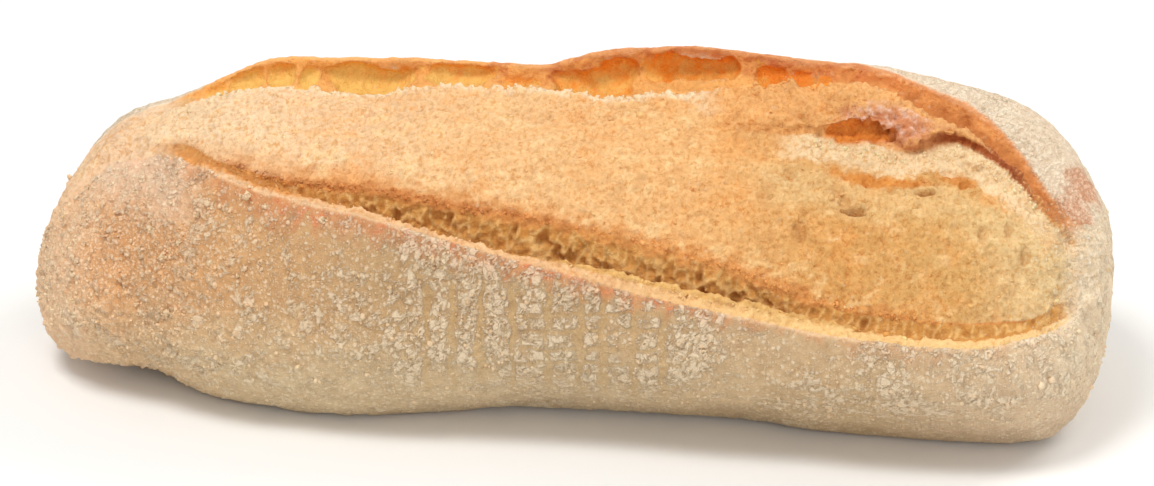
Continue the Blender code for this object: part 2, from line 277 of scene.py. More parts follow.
def landmark_points(x):
    """Every landmark line's (y, z) at every x, in millimetres: an array of x by line by 2."""
    foot = np.array([along(x, FRONT_FOOT), 0 * x])
    belly = np.array([along(x, FRONT_BELLY), 0 * x + BELLY_HEIGHT])
    lip = np.array([along(x, LIP_DEPTH), along(x, LIP_HEIGHT)])
    lip_inner = lip + [along(x, LIP_THICKNESS), 0 * x + 0.3]
    edge = np.array([along(x, BLOOM_EDGE_DEPTH), along(x, BLOOM_EDGE_HEIGHT)])
    crevice = np.array([
        between(lip_inner[0], edge[0], 0.35), lip_inner[1] - along(x, CREVICE_DEPTH),
    ])
    step_foot = np.array([along(x, STEP_DEPTH), along(x, STEP_FOOT_HEIGHT)])
    rise = along(x, STEP_RISE)
    step_top = step_foot + [1.0 - np.minimum(0.5 * rise, 1), 0.2 + rise]
    across = step_foot - edge
    outward = np.array([-across[1], across[0]]) / np.hypot(*across)
    bloom_middle = between(edge, step_foot, 0.5) + outward * along(x, BLOOM_SWELL)
    back_edge = np.array([along(x, BACK_EDGE_DEPTH), along(x, BACK_EDGE_HEIGHT)])
    rim = np.array([along(x, RIM_DEPTH), along(x, RIM_HEIGHT)])
    crease = np.array([between(back_edge[0], rim[0], 0.5), back_edge[1] - along(x, BACK_CREASE)])
    wall_middle = np.array([between(crease[0], rim[0], 0.8), between(crease[1], rim[1], 0.4)])
    crown = np.array([rim[0] + along(x, CROWN_SETBACK), along(x, CROWN_HEIGHT)])
    back_belly = np.array([along(x, BACK_BELLY), 0 * x + BELLY_HEIGHT + 3])
    back_foot = np.array([along(x, BACK_FOOT), 0 * x])
    shoulder = np.array([between(belly[0], lip[0], 0.28) - 0.6, between(belly[1], lip[1], 0.58)])
    back_shoulder = np.array([
        between(crown[0], back_belly[0], 0.72), between(crown[1], back_belly[1], 0.34),
    ])
    points = np.array([
        foot, belly, shoulder, lip, lip_inner, crevice, edge, bloom_middle, step_foot, step_top,
        back_edge, crease, wall_middle, rim, crown, back_shoulder, back_belly, back_foot,
    ]).transpose(2, 0, 1)
    tips = np.where((x < 0)[:, None], LEFT_TIP, RIGHT_TIP)[:, None]
    return tips + (points - tips) * cap_share(x)[:, None, None]


GRID_STEP = 0.5
UNDERSIDE_BELOW = 0.35
grid_x = np.arange(LEFT_END, RIGHT_END + GRID_STEP, GRID_STEP).clip(LEFT_END, RIGHT_END)
grid_points = landmark_points(grid_x)
print("landmark lines:", len(LINES), "at", len(grid_x), "places along the roll")

# %% [markdown]
# ## The loaf's own mesh
# A baked crust has no facets, pits a millimetre wide and a torn wall full of pockets, which asks
# for several hundred thousand small faces. The solid's copy is merged, rounded by one subdivision
# and rebuilt by a voxel remesh, which gives even faces everywhere with no seams or poles. Digital
# sculptors start a loaf in the same way, from a block-out to a remeshed clay. This first remesh
# is the coarse one; a second and finer one follows once the torn places are carved.

# %% Copy the solid and remesh it
COARSE_VOXEL = 0.50 * MM
FINE_VOXEL = 0.30 * MM

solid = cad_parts["roll"]
loaf = solid.copy()
loaf.data = solid.data.copy()
loaf.parent = None
loaf.name = "baked_roll"
bpy.context.scene.collection.objects.link(loaf)
bpy.context.view_layer.objects.active = loaf
loaf.select_set(True)

bpy.ops.object.mode_set(mode="EDIT")
bpy.ops.mesh.select_all(action="SELECT")
bpy.ops.mesh.remove_doubles(threshold=0.001 * MM)
bpy.ops.mesh.tris_convert_to_quads()
bpy.ops.object.mode_set(mode="OBJECT")


def apply_modifier(piece, kind, **settings):
    """Adds a modifier with these settings and applies it at once."""
    modifier = piece.modifiers.new(kind.lower(), kind)
    for name, value in settings.items():
        setattr(modifier, name, value)
    bpy.context.view_layer.objects.active = piece
    bpy.ops.object.modifier_apply(modifier=modifier.name)


apply_modifier(loaf, "SUBSURF", levels=1, render_levels=1)
apply_modifier(loaf, "REMESH", mode="VOXEL", voxel_size=COARSE_VOXEL, adaptivity=0.0)
apply_modifier(loaf, "SMOOTH", factor=0.5, iterations=2)
print("remeshed faces:", len(loaf.data.polygons))

# %% [markdown]
# ## Which strip is this point on?
# Each point of the mesh looks up the landmark points at its own place along the roll and takes
# the nearest stretch between two of them. That names its strip: front crust, lip, crevice, torn
# wall, bloom, step, flap, ear wall or back crust. The distance to a line is kept as well,
# because most of what an oven does follows such a distance.

# %% Find strips and distances


def mesh_points(piece):
    """The piece's points and normals as arrays, the points in millimetres from the mark."""
    mesh = piece.data
    flat = np.empty(len(mesh.vertices) * 3, np.float32)
    mesh.vertices.foreach_get("co", flat)
    points = flat.reshape(-1, 3).astype(float) / MM - [MARK_X, MARK_Y, 0]
    mesh.vertex_normals.foreach_get("vector", flat)
    return points, flat.reshape(-1, 3).astype(float)


def set_mesh_points(piece, points):
    """Writes points in millimetres from the mark back to the piece, inside the solid's box."""
    places = (points + [MARK_X, MARK_Y, 0]) * MM
    places = np.clip(places, np.array(cad_low), np.array(cad_high))
    piece.data.vertices.foreach_set("co", places.astype(np.float32).ravel())
    piece.data.update()


class Survey:
    """Where each point lies among the landmark lines."""

    def __init__(self, points):
        self.x, self.y, self.z = points.T
        row = np.clip(np.round((self.x - LEFT_END) / GRID_STEP).astype(int), 0, len(grid_x) - 1)
        self.lines = grid_points[row]
        yz = points[:, None, 1:]
        start = self.lines[:, :-1]
        span = self.lines[:, 1:] - start
        length = np.maximum((span**2).sum(2), 1e-9)
        share = np.clip(((yz - start) * span).sum(2) / length, 0, 1)
        away = np.linalg.norm(start + span * share[..., None] - yz, axis=2)
        under = self.z < UNDERSIDE_BELOW
        self.strip = np.where(under, -1, away.argmin(1))

    def part(self, chosen):
        """The survey of some of the points alone."""
        less = Survey.__new__(Survey)
        less.x, less.y, less.z = self.x[chosen], self.y[chosen], self.z[chosen]
        less.lines, less.strip = self.lines[chosen], self.strip[chosen]
        return less

    def place(self, line):
        """The (y, z) of a landmark line beside each point."""
        return self.lines[:, LINES.index(line)]

    def away(self, line):
        """Distance in the section's plane to a landmark line."""
        place = self.place(line)
        return np.hypot(self.y - place[:, 0], self.z - place[:, 1])

    def near(self, line, width):
        """1 on the line, falling softly to 0 beyond the width."""
        return np.exp(-((self.away(line) / width) ** 2))

    def on(self, first, last):
        """1 on the strips from one landmark line to another, else 0."""
        a, b = LINES.index(first), LINES.index(last)
        return ((self.strip >= a) & (self.strip < b)).astype(float)

    def height(self, line):
        return self.place(line)[:, 1]

    def spots(self):
        """The points themselves."""
        return np.stack([self.x, self.y, self.z], 1)

    def behind(self, line):
        """How far back from a landmark line each point lies."""
        return self.y - self.place(line)[:, 0]


def band(value, low, high, soft):
    """1 where the value lies between low and high, with soft edges."""
    return smooth(low - soft, low + soft, value) * (1 - smooth(high - soft, high + soft, value))


def smooth(low, high, value):
    t = np.clip((value - low) / (high - low), 0, 1)
    return t * t * (3 - 2 * t)


# %% [markdown]
# ## Noise and cells
# Dough is random but never evenly so. Two kinds of randomness are enough: soft noise for swelling
# and roughness, and cells for bubbles, which meet in thin walls like the crumb of bread. The
# cells are seeded, so the roll comes out the same each time.

# %% Make noise and cells
CELL_SEED = 11
CELL_TABLE = 64


def noise_at(points, size, offset=0.0):
    """Soft noise from -1 to 1 with swells of the given size, which may differ by axis."""
    scaled = points / np.asarray(size, float) + offset
    sample = noise.noise
    return np.array([sample(p) for p in scaled.tolist()])


def fractal_at(points, size, octaves=4, offset=0.0):
    """Rough noise about -1 to 1, with ever finer swells on top of the given size."""
    scaled = points / np.asarray(size, float) + offset
    sample = noise.fractal
    return np.array([sample(p, 0.7, 2.0, octaves) for p in scaled.tolist()])


def crack_at(points, size, offset=0.0):
    """For round cells in space: 0 on a border, rising to about 1 in a cell's middle, and the
    cell's own random number."""
    scaled = points / size + offset
    sample = noise.voronoi
    gap = np.empty(len(points))
    own = np.empty(len(points))
    for i, p in enumerate(scaled.tolist()):
        distances, centres = sample(p)
        gap[i] = distances[1] - distances[0]
        own[i] = centres[0].x * 7.13 + centres[0].y * 3.71 + centres[0].z * 5.37
    return gap, own % 1.0


def cells_at(u, v, width, height, seed=CELL_SEED):
    """For flat cells about width by height in size: the gap to the border and the cell's own
    random number."""
    a = u / width
    b = v / height
    column = np.floor(a).astype(int)
    row = np.floor(b).astype(int)
    table = np.random.default_rng(seed).random((CELL_TABLE, CELL_TABLE, 3))
    nearest = np.full(len(u), 9.0)
    second = np.full(len(u), 9.0)
    own = np.zeros(len(u))
    for i in (-1, 0, 1):
        for j in (-1, 0, 1):
            here = table[(column + i) % CELL_TABLE, (row + j) % CELL_TABLE]
            gap = np.hypot(column + i + here[:, 0] - a, row + j + here[:, 1] - b)
            closer = gap < nearest
            second = np.minimum(second, np.maximum(nearest, gap))
            own = np.where(closer, here[:, 2], own)
            nearest = np.minimum(nearest, gap)
    return second - nearest, own


# %% [markdown]
# ## Coarse relief
# The torn places come first, because they change the form most: the shelf of crumb behind the
# lip, the second tear with its hollow blister, the burst bubbles under the ear, and the folds
# where the cut runs out at both ends.

# %% List the torn places
# Burst bubbles in the ear's wall: middle along the roll, half length, how high up the wall the
# middle lies (0 at the crease, 1 at the rim), half height as a share of the wall, and depth.
EAR_BUBBLES = (
    (-57.6, 1.8, 0.34, 0.28, 0.7), (-52.9, 2.9, 0.40, 0.34, 1.3), (-47.2, 2.3, 0.40, 0.32, 1.5),
    (-42.9, 1.4, 0.30, 0.24, 1.1), (-33.2, 7.3, 0.34, 0.30, 2.3), (-36.5, 2.2, 0.52, 0.22, 1.8),
    (-18.6, 5.9, 0.34, 0.28, 2.0), (-21.5, 2.0, 0.50, 0.20, 1.6), (-8.4, 3.1, 0.20, 0.17, 1.1),
    (3.0, 6.9, 0.28, 0.26, 2.3), (6.8, 3.0, 0.44, 0.24, 2.2), (18.8, 8.2, 0.45, 0.27, 2.9),
    (29.6, 0.9, 0.66, 0.13, 0.8), (31.6, 2.5, 0.27, 0.24, 1.7), (36.0, 2.2, 0.26, 0.22, 1.4),
    (39.8, 1.1, 0.24, 0.17, 0.8), (-25.2, 0.8, 0.62, 0.12, 0.5), (-13.2, 0.7, 0.60, 0.12, 0.5),
)
BUBBLE_SQUARENESS = 3.0
# Grooves: two ends in millimetres, width and depth.
GROOVES = (
    ((79.6, -7.2, 29.6), (80.6, -13.9, 28.2), 0.9, 0.9),
    ((79.0, -16.2, 27.0), (80.2, -18.0, 24.2), 1.0, 0.8),
    ((83.0, -18.8, 21.6), (84.6, -16.0, 18.2), 1.2, 0.7),
    ((78.6, -20.5, 23.5), (82.4, -20.8, 20.0), 1.0, 0.5),
    ((-77.5, -16.1, 25.4), (-75.4, -11.7, 30.5), 1.5, 0.8),
    ((-75.4, -11.7, 30.5), (-72.1, -8.0, 34.3), 1.6, 1.0),
    ((-72.1, -8.0, 34.3), (-67.4, -6.8, 37.2), 1.5, 0.9),
    ((-69.4, -16.2, 31.1), (-67.7, -12.8, 34.0), 1.4, 0.5),
    ((-67.7, -12.8, 34.0), (-64.2, -10.1, 37.0), 1.4, 0.6),
    ((-56.6, -15.0, 38.2), (-54.6, -18.6, 36.4), 1.1, 0.9),
    ((-78.4, 1.0, 30.5), (-76.2, 3.5, 33.6), 1.0, 1.1),
    ((-81.0, -2.0, 27.0), (-79.6, 2.4, 29.0), 0.9, 0.8),
)
# The second tear: how far the crumb slips back under the flap, along the roll.
TEAR_UNDERCUT = (
    (30, 0.0), (35, 0.4), (40, 0.8), (44, 0.9), (50, 0.8), (54, 0.4), (57, 0.9), (60, 1.7),
    (64, 2.1), (68, 1.9), (73, 1.2), (77, 0.2),
)
# Mounds: middle and radii in millimetres, and height.
MOUNDS = (
    ((50.5, 2.6, 44.6), (8.0, 3.6, 3.0), 1.2),
    ((44.0, 4.5, 45.6), (5.0, 3.0, 2.6), 0.6),
    ((60.5, 2.0, 43.0), (4.0, 2.6, 2.6), 0.5),
    ((-61.5, -19.0, 34.2), (7.0, 6.0, 4.5), 0.9),
    ((-47.0, -24.5, 34.0), (6.0, 5.0, 4.0), -0.5),
    ((30.0, 0.5, 44.4), (5.0, 3.0, 3.0), 0.5),
    ((8.0, -12.0, 40.5), (9.0, 6.0, 5.0), 0.5),
    ((-12.0, -4.0, 43.5), (8.0, 5.0, 4.0), -0.4),
    ((-30.0, -12.0, 40.0), (10.0, 5.0, 4.0), 0.5),
    ((58.0, -14.0, 35.0), (7.0, 5.0, 4.0), 0.5),
)
BLISTER_LIP = ((53.8, -0.4, 41.5), (3.2, 2.2, 1.7), 1.5)
CAVITY = (46.2, 42.1)
CAVITY_TILT = 0.02
CAVITY_HALF = (5.6, 1.65)
CAVITY_DEPTH = 2.9
TEAR_REACH = 4.5
SHELF_REACH = 2.7
SHELF_CLIMB = 0.42
SHELF_SHARE = ((-8, 0.0), (4, 0.7), (12, 1.0), (38, 1.0), (46, 0.6), (54, 0.0))
print("listed:", len(EAR_BUBBLES), "bubbles,", len(GROOVES), "folds,", len(MOUNDS), "mounds")

# %% [markdown]
# ## Shapes that carve
# A burst bubble is a bowl with squared corners, a fold is a soft groove along a short line, and
# a mound is an oval swelling. Each gives a depth for every point of the skin.

# %% Define bowls, folds and mounds


def dome(distance):
    """A round bowl: 1 in the middle, 0 from distance 1 on, with a crisp edge."""
    return np.sqrt(np.clip(1 - distance**2, 0, 1))


def groove_depth(points):
    depth = np.zeros(len(points))
    for start, end, width, deep in GROOVES:
        start = np.array(start)
        span = np.array(end) - start
        share = np.clip((points - start) @ span / (span @ span), 0, 1)
        gap = np.linalg.norm(points - start - share[:, None] * span, axis=1)
        depth = np.maximum(depth, deep * np.exp(-((gap / width) ** 2)))
    return depth


def oval(points, middle, radii, raggedness=0.0):
    """A soft mound: 1 in the middle of an oval spot, falling to 0 outside it."""
    gap = np.linalg.norm((points - middle) / radii, axis=1) + raggedness
    return np.exp(-1.4 * np.maximum(gap, 0) ** 2)


def ear_wall_share(survey):
    """0 at the crease under the ear, 1 at its rim."""
    low = survey.height("crease")
    high = survey.height("rim")
    return np.clip((survey.z - low) / np.maximum(high - low, 0.5), 0, 1)


def ear_bubbles(survey, wave):
    """How hollow the ear's wall is, in millimetres, 0 to 1 inside a bubble, and how high up in
    the bubble each point lies."""
    up = ear_wall_share(survey)
    hollow = np.zeros(len(up))
    inside = np.zeros(len(up))
    high = np.zeros(len(up))
    for middle, half, centre, half_up, deep in EAR_BUBBLES:
        sideways = np.abs((survey.x - middle) / half) ** BUBBLE_SQUARENESS
        upward = np.abs((up - centre) / half_up) ** BUBBLE_SQUARENESS
        gap = (sideways + upward) ** (1 / BUBBLE_SQUARENESS) + 0.20 * wave
        hollow = np.maximum(hollow, deep * dome(np.maximum(gap, 0)))
        inside = np.maximum(inside, smooth(1.06, 0.86, gap))
        high = np.where(gap < 1.1, np.clip((up - centre) / half_up, -1, 1) * 0.5 + 0.5, high)
    wall = survey.on("back_edge", "rim")
    return hollow * wall, inside * wall, high


def step_share(survey):
    """0 at the foot of the second tear's wall, 1 at its top."""
    low = survey.height("step_foot")
    return (survey.z - low) / np.maximum(survey.height("step_top") - low, 0.4)


def cavity_gap(survey, wave):
    """Under 1 inside the hollow of the blister."""
    along_it = (survey.x - CAVITY[0]) / CAVITY_HALF[0]
    up_it = (survey.z - CAVITY[1] - CAVITY_TILT * (survey.x - CAVITY[0])) / CAVITY_HALF[1]
    return np.hypot(along_it, up_it) + 0.15 * wave


print("a bowl's depth halfway out:", round(float(dome(0.5)), 2))

# %% [markdown]
# ## Carve
# Bubbles, folds and mounds move the skin along its normals. The second tear slips back under
# its flap, the blister bulges over its hollow, and a shelf of crumb is lifted behind the lip.

# %% Carve the torn places


def carve(points, normals, survey):
    wave = noise_at(points, 1.7, 14.0)
    wide_wave = noise_at(points * [1, 0, 0], 4.2, 16.0)
    ear_hollow, _, _ = ear_bubbles(survey, wave)
    inward = 0.9 * ear_hollow + groove_depth(points)
    for middle, radii, rise in MOUNDS:
        inward -= rise * oval(points, middle, radii, 0.12 * wave)
    moved = points - normals * inward[:, None]

    near_tear = np.abs(survey.behind("step_foot")) < TEAR_REACH
    near_tear = survey.on("bloom_middle", "crease") * near_tear
    up = step_share(survey) + 0.12 * wave
    undercut = along(survey.x, TEAR_UNDERCUT) * band(up, 0.45, 0.95, 0.15)
    cavity = CAVITY_DEPTH * dome(np.minimum(cavity_gap(survey, wave), 1))
    moved[:, 1] += np.maximum(undercut, cavity) * near_tear
    crest = band(up, 0.05, 0.36, 0.14) * band(survey.x, 34, 76, 3) * near_tear
    moved[:, 1] -= crest * (0.55 + 0.5 * wide_wave + 0.4 * wave)
    lip = BLISTER_LIP[2] * oval(points, BLISTER_LIP[0], BLISTER_LIP[1], 0.2 * wave)
    moved[:, 1] -= lip
    moved[:, 2] -= 0.35 * lip

    behind = survey.behind("lip")
    wall = survey.on("lip_inner", "bloom_edge")
    shelf = survey.height("lip") + 0.4 + SHELF_CLIMB * np.minimum(behind, SHELF_REACH)
    shelf += 0.3 * wave + 0.35 * wide_wave
    lift = np.maximum(shelf - moved[:, 2], 0) * along(survey.x, SHELF_SHARE)
    moved[:, 2] += lift * wall * (behind > 0) * smooth(SHELF_REACH + 0.9, SHELF_REACH, behind)
    return moved


start_points, normals = mesh_points(loaf)
start_survey = Survey(start_points)
set_mesh_points(loaf, carve(start_points, normals, start_survey))
# Lifting the shelf leaves steps in the coarse mesh, which a few rounds of smoothing take out.
shelf_here = band(start_survey.behind("lip"), 0.4, SHELF_REACH + 1.2, 0.4)
shelf_here *= start_survey.on("lip", "bloom_edge") * along(start_survey.x, SHELF_SHARE)
group = loaf.vertex_groups.new(name="shelf")
group.add(np.nonzero(shelf_here > 0.3)[0].tolist(), 1.0, "REPLACE")
apply_modifier(loaf, "SMOOTH", factor=0.5, iterations=6, vertex_group=group.name)
carved_points, _ = mesh_points(loaf)
print("carved:", len(EAR_BUBBLES), "burst bubbles,", len(GROOVES), "folds,", len(MOUNDS), "mounds")

# %% [markdown]
# ## The fine mesh
# Carving has stretched the faces in the tears, so the clay is remeshed, now with the fine voxel.
# Every new point looks up its nearest carved points and learns from them where its bit of skin
# lay before, on the plain landmark sections. That home place says which strip it belongs to,
# however far the oven has moved it.

# %% Remesh finely and trace every point home
NEIGHBOURS = 3

apply_modifier(loaf, "REMESH", mode="VOXEL", voxel_size=FINE_VOXEL, adaptivity=0.0)
apply_modifier(loaf, "SMOOTH", factor=0.5, iterations=2)
finder = kdtree.KDTree(len(carved_points))
for number, place in enumerate(carved_points.tolist()):
    finder.insert(place, number)
finder.balance()


def home_places(points):
    """Where each point's bit of skin lay before carving, averaged over its nearest neighbours."""
    numbers = np.empty((len(points), NEIGHBOURS), int)
    gaps = np.empty((len(points), NEIGHBOURS))
    for i, place in enumerate(points.tolist()):
        for j, (_, number, gap) in enumerate(finder.find_n(place, NEIGHBOURS)):
            numbers[i, j] = number
            gaps[i, j] = gap
    weights = 1 / (gaps + 0.05)
    weights /= weights.sum(1)[:, None]
    moves = ((start_points - carved_points)[numbers] * weights[..., None]).sum(1)
    return points + moves


points, normals = mesh_points(loaf)
survey = Survey(home_places(points))
print("points in the skin:", len(points))

# %% [markdown]
# ## Ragged edges and fine relief
# Where a crust tears, its edge is thin, ragged and curled. The lip, the bloom's two edges and the
# ear's rim are pushed in and out by noise that is finer along the roll than across it. Then the
# whole skin gets its grain: pockets and threads in the torn wall, blisters and pits on the bloom,
# grit in front, soft wrinkles behind.

# %% List the pits and pockets
# Pits in the bloom: middle in millimetres, half length, half height and depth.
PITS = (
    ((46.8, -14.5, 35.7), 1.9, 0.9, 1.5), ((45.2, -12.6, 36.8), 1.0, 1.2, 0.6),
    ((43.9, -10.2, 37.6), 1.0, 1.3, 0.6), ((36.4, -9.2, 39.4), 1.2, 1.5, 0.6),
    ((38.4, -8.2, 39.6), 0.9, 1.0, 0.5), ((33.2, -11.8, 39.2), 1.1, 1.4, 0.4),
    ((57.1, -9.6, 37.2), 1.9, 0.8, 1.1), ((60.2, -4.3, 38.7), 1.6, 0.7, 1.1),
    ((62.9, -6.0, 37.4), 0.9, 0.6, 0.8), ((52.0, -9.0, 37.4), 0.8, 1.0, 0.5),
    ((-22.5, -2.2, 43.3), 0.5, 0.4, 1.0), ((38.9, -19.2, 33.9), 1.2, 1.6, 0.6),
    ((33.0, -15.0, 37.6), 1.3, 1.7, 0.5), ((66.5, -15.0, 33.2), 1.0, 1.5, 0.5),
    ((70.2, -12.5, 33.0), 0.8, 1.3, 0.6), ((73.0, -15.5, 30.0), 0.8, 1.3, 0.6),
    ((-38.0, -3.0, 42.6), 0.9, 0.6, 0.7), ((-58.6, 3.2, 40.4), 1.1, 0.5, 0.8),
    ((-52.4, -1.6, 40.6), 0.9, 0.5, 0.7), ((-46.0, -0.8, 41.8), 0.8, 0.5, 0.7),
    ((2.0, -9.0, 42.6), 0.6, 0.5, 0.5),
)


def pit_shares(points, wave):
    """How deep in a pit each point lies, in millimetres, and 0 to 1 inside one."""
    depth = np.zeros(len(points))
    inside = np.zeros(len(points))
    for middle, half, half_up, deep in PITS:
        radii = [half, 1.6 * half_up, half_up]
        gap = np.linalg.norm((points - middle) / radii, axis=1) + 0.2 * wave
        depth = np.maximum(depth, deep * dome(np.clip(gap, 0, 1)))
        inside = np.maximum(inside, smooth(1.1, 0.7, gap) * min(deep, 1) ** 2)
    return depth, inside


POCKET_SIZE = (1.6, 3.2)
FINE_POCKET_SIZE = (0.7, 2.6)


def wall_pockets(survey, wave):
    """The torn wall's pockets: how hollow it is (0 to 1), 0 to 1 on the webs between, and 0 to 1
    below the browned edge."""
    up = survey.z - survey.height("crevice")
    tall = np.maximum(survey.height("bloom_edge") - survey.height("crevice"), 1)
    warp = 0.6 * wave
    border, own = cells_at(survey.x + warp, up + 1.2 * warp, *POCKET_SIZE)
    fine_border, fine_own = cells_at(
        survey.x - warp, up + warp, *FINE_POCKET_SIZE, CELL_SEED + 1
    )
    low = smooth(0.94, 0.76, up / tall + 0.14 * wave)
    lower = smooth(0.95, 0.55, up / tall)
    deep = smooth(0.02, 0.6, border) * (0.15 + 0.85 * own**2) * (0.35 + 0.65 * lower)
    fine = smooth(0.02, 0.5, fine_border) * smooth(0.45, 0.8, fine_own)
    hollow = low * np.maximum(deep, 0.3 * fine)
    web = low * smooth(0.24, 0.04, border)
    return hollow, web, low


print("a pocket of the torn wall, in mm:", POCKET_SIZE)

# %% [markdown]
# ## Roughen
# Every kind of crust gets its own mix of the same few noises. The push along the normal fades
# out near the ground, so that the roll still stands flat.

# %% Roughen the edges and the skin


def roughen(points, normals, survey):
    x_only = points * [1, 0, 0]
    wave = noise_at(points, 1.7, 14.0)
    tuft = noise_at(x_only, 1.5, 7.0)
    fray = noise_at(points, 0.75, 3.0)
    slow = noise_at(x_only, 6.0, 9.0)
    ragged = 0.5 * tuft + 0.5 * fray
    depth_here = along(survey.x, CREVICE_DEPTH)
    hollow, _, _ = wall_pockets(survey, wave)
    _, inside, _ = ear_bubbles(survey, wave)
    threads = noise_at(points, (0.5, 6.0, 3.0), 4.0)
    on_shelf = along(survey.x, SHELF_SHARE)
    on_shelf = on_shelf * smooth(SHELF_REACH + 0.6, SHELF_REACH - 0.6, survey.behind("lip"))
    torn = survey.on("crevice", "bloom_edge") * smooth(0.8, 3.5, depth_here) * (1 - 0.85 * on_shelf)
    push = torn * (0.28 * threads + 0.2 * wave - 1.6 * hollow)
    bulge = noise_at(points, 2.3, 61.0)
    push += survey.on("lip_inner", "bloom_edge") * on_shelf * (
        0.35 * wave + 0.25 * fray + 0.9 * bulge
    )

    edge = survey.near("bloom_edge", 1.5) * smooth(0.3, 3, depth_here)
    crest = survey.near("back_edge", 1.1) * band(survey.x, -60, 44, 3)
    lip = survey.near("lip", 0.9) + survey.near("lip_inner", 1.0)
    rim = survey.near("rim", 1.0)
    push += edge * (0.3 + 0.8 * ragged + 0.4 * slow)
    push += crest * (0.4 + 1.0 * ragged + 0.3 * slow)
    calm = 1 - 0.5 * along(survey.x, SHELF_SHARE)
    push += lip * band(survey.x, -56, 72, 4) * (0.35 * slow + 0.6 * ragged * calm)
    push += rim * band(survey.x, -62, 78, 3) * (0.10 + 0.8 * ragged + 0.35 * slow)
    tear_crest = band(step_share(survey), 0.1, 0.5, 0.2) * band(survey.x, 36, 76, 3)
    push += tear_crest * (np.abs(survey.behind("step_foot")) < 4) * (0.6 * ragged + 0.2)

    front = survey.on("front_foot", "lip")
    bloom = survey.on("bloom_edge", "back_edge")
    wall = survey.on("back_edge", "rim")
    back = survey.on("rim", "back_foot")
    left = smooth(-36, -62, survey.x)
    big = noise_at(points, 7.5, 1.0)
    middle = noise_at(points, 2.4, 2.0)
    small = noise_at(points, 1.0, 5.0)
    tiny = noise_at(points, 0.6, 15.0)
    grit = 0.55 * small + 0.45 * tiny
    bumps = np.maximum(noise_at(points, 1.5, 8.0), 0) ** 2
    push += front * (
        0.35 * big + 0.18 * middle + (0.22 + 0.38 * left) * grit + (0.15 + 1.0 * left) * bumps
    )
    push += bloom * (0.50 * big + 0.42 * middle + 0.60 * grit + 0.5 * bumps)
    push += wall * (0.15 * big + 0.35 * middle + 0.42 * grit) * (1 - 0.6 * inside)
    push += back * (0.25 * big + 0.16 * middle + 0.20 * grit)
    push += survey.on("lip", "bloom_edge") * 0.60 * grit
    flap = survey.on("step_top", "back_edge") * band(survey.x, 26, 80, 4)
    push += flap * (0.35 * middle + 0.25 * small)
    scorched = oval(points, (51.5, 1.0, 43.6), (6.5, 3.5, 3.0))
    push += scorched * (0.8 * grit + 0.5 * middle + 0.4 * fray)

    fibres = noise_at(points, (0.9, 4.5, 3.5), 6.0)
    stretched = bloom * band(survey.x, 27, 76, 6) * smooth(41, 36, survey.z)
    push += stretched * 0.32 * fibres
    behind_tear = survey.behind("step_foot")
    orange_step = smooth(-5.2, -6.4, behind_tear + 0.6 * slow + 0.4 * wave)
    step_here = bloom * orange_step * band(survey.x, 42, 66, 3)
    push -= step_here * smooth(-12, -7, behind_tear) * 0.45
    pits, _ = pit_shares(survey.spots(), wave)
    push -= 1.35 * pits * bloom
    push *= smooth(0.2, 2.0, survey.z)
    return points + normals * (push - 0.15)[:, None], grit


rough_points, grit = roughen(points, normals, survey)
set_mesh_points(loaf, rough_points)
apply_modifier(loaf, "SMOOTH", factor=0.2, iterations=1)
print("pits:", len(PITS))

# %% [markdown]
# ## Flour
# A proofing cloth and a floured bench leave the most flour on the front and the back. As the
# crust swells, the flour cracks into plates with bare crust between them, and the folds of the
# cloth leave straight bare streaks. At the left end it has baked on as coarse grit. The plates
# come from cells: a plate is far from the border of its cell, a crack is near it.

# %% Lay the flour
FLOUR_THICKNESS = 0.20
PLATE_SIZE = 1.8
GRIT_SIZE = 1.05
# Bare streaks that the cloth left: place along the roll for upright ones, height for level ones.
UPRIGHT_STREAKS = (-16.4, -12.6, -8.2, -3.4, 2.2, 6.8, 10.4, 15.2, 19.6)
LEVEL_STREAKS = (23.2, 20.6, 17.8, 15.4)


def streaks(survey, wave):
    """1 on the bare streaks of the cloth print in the middle of the front, else 0."""
    bare = np.zeros(len(survey.x))
    for place in UPRIGHT_STREAKS:
        width = 0.66 + 0.24 * np.sin(survey.z / 3 + 2 * place)
        gap = np.abs(survey.x - place - 0.9 * wave) / width
        bare = np.maximum(bare, np.exp(-(gap**4)))
    for place in LEVEL_STREAKS:
        gap = np.abs(survey.z - place - 0.06 * survey.x - 0.6 * wave) / 0.36
        bare = np.maximum(bare, 0.8 * np.exp(-(gap**4)) * band(survey.x, -4, 21, 3))
    area = band(survey.x, -19, 23, 2.5) * band(survey.z, 9, 28, 3)
    return bare * area * smooth(-0.9, -0.4, wave)


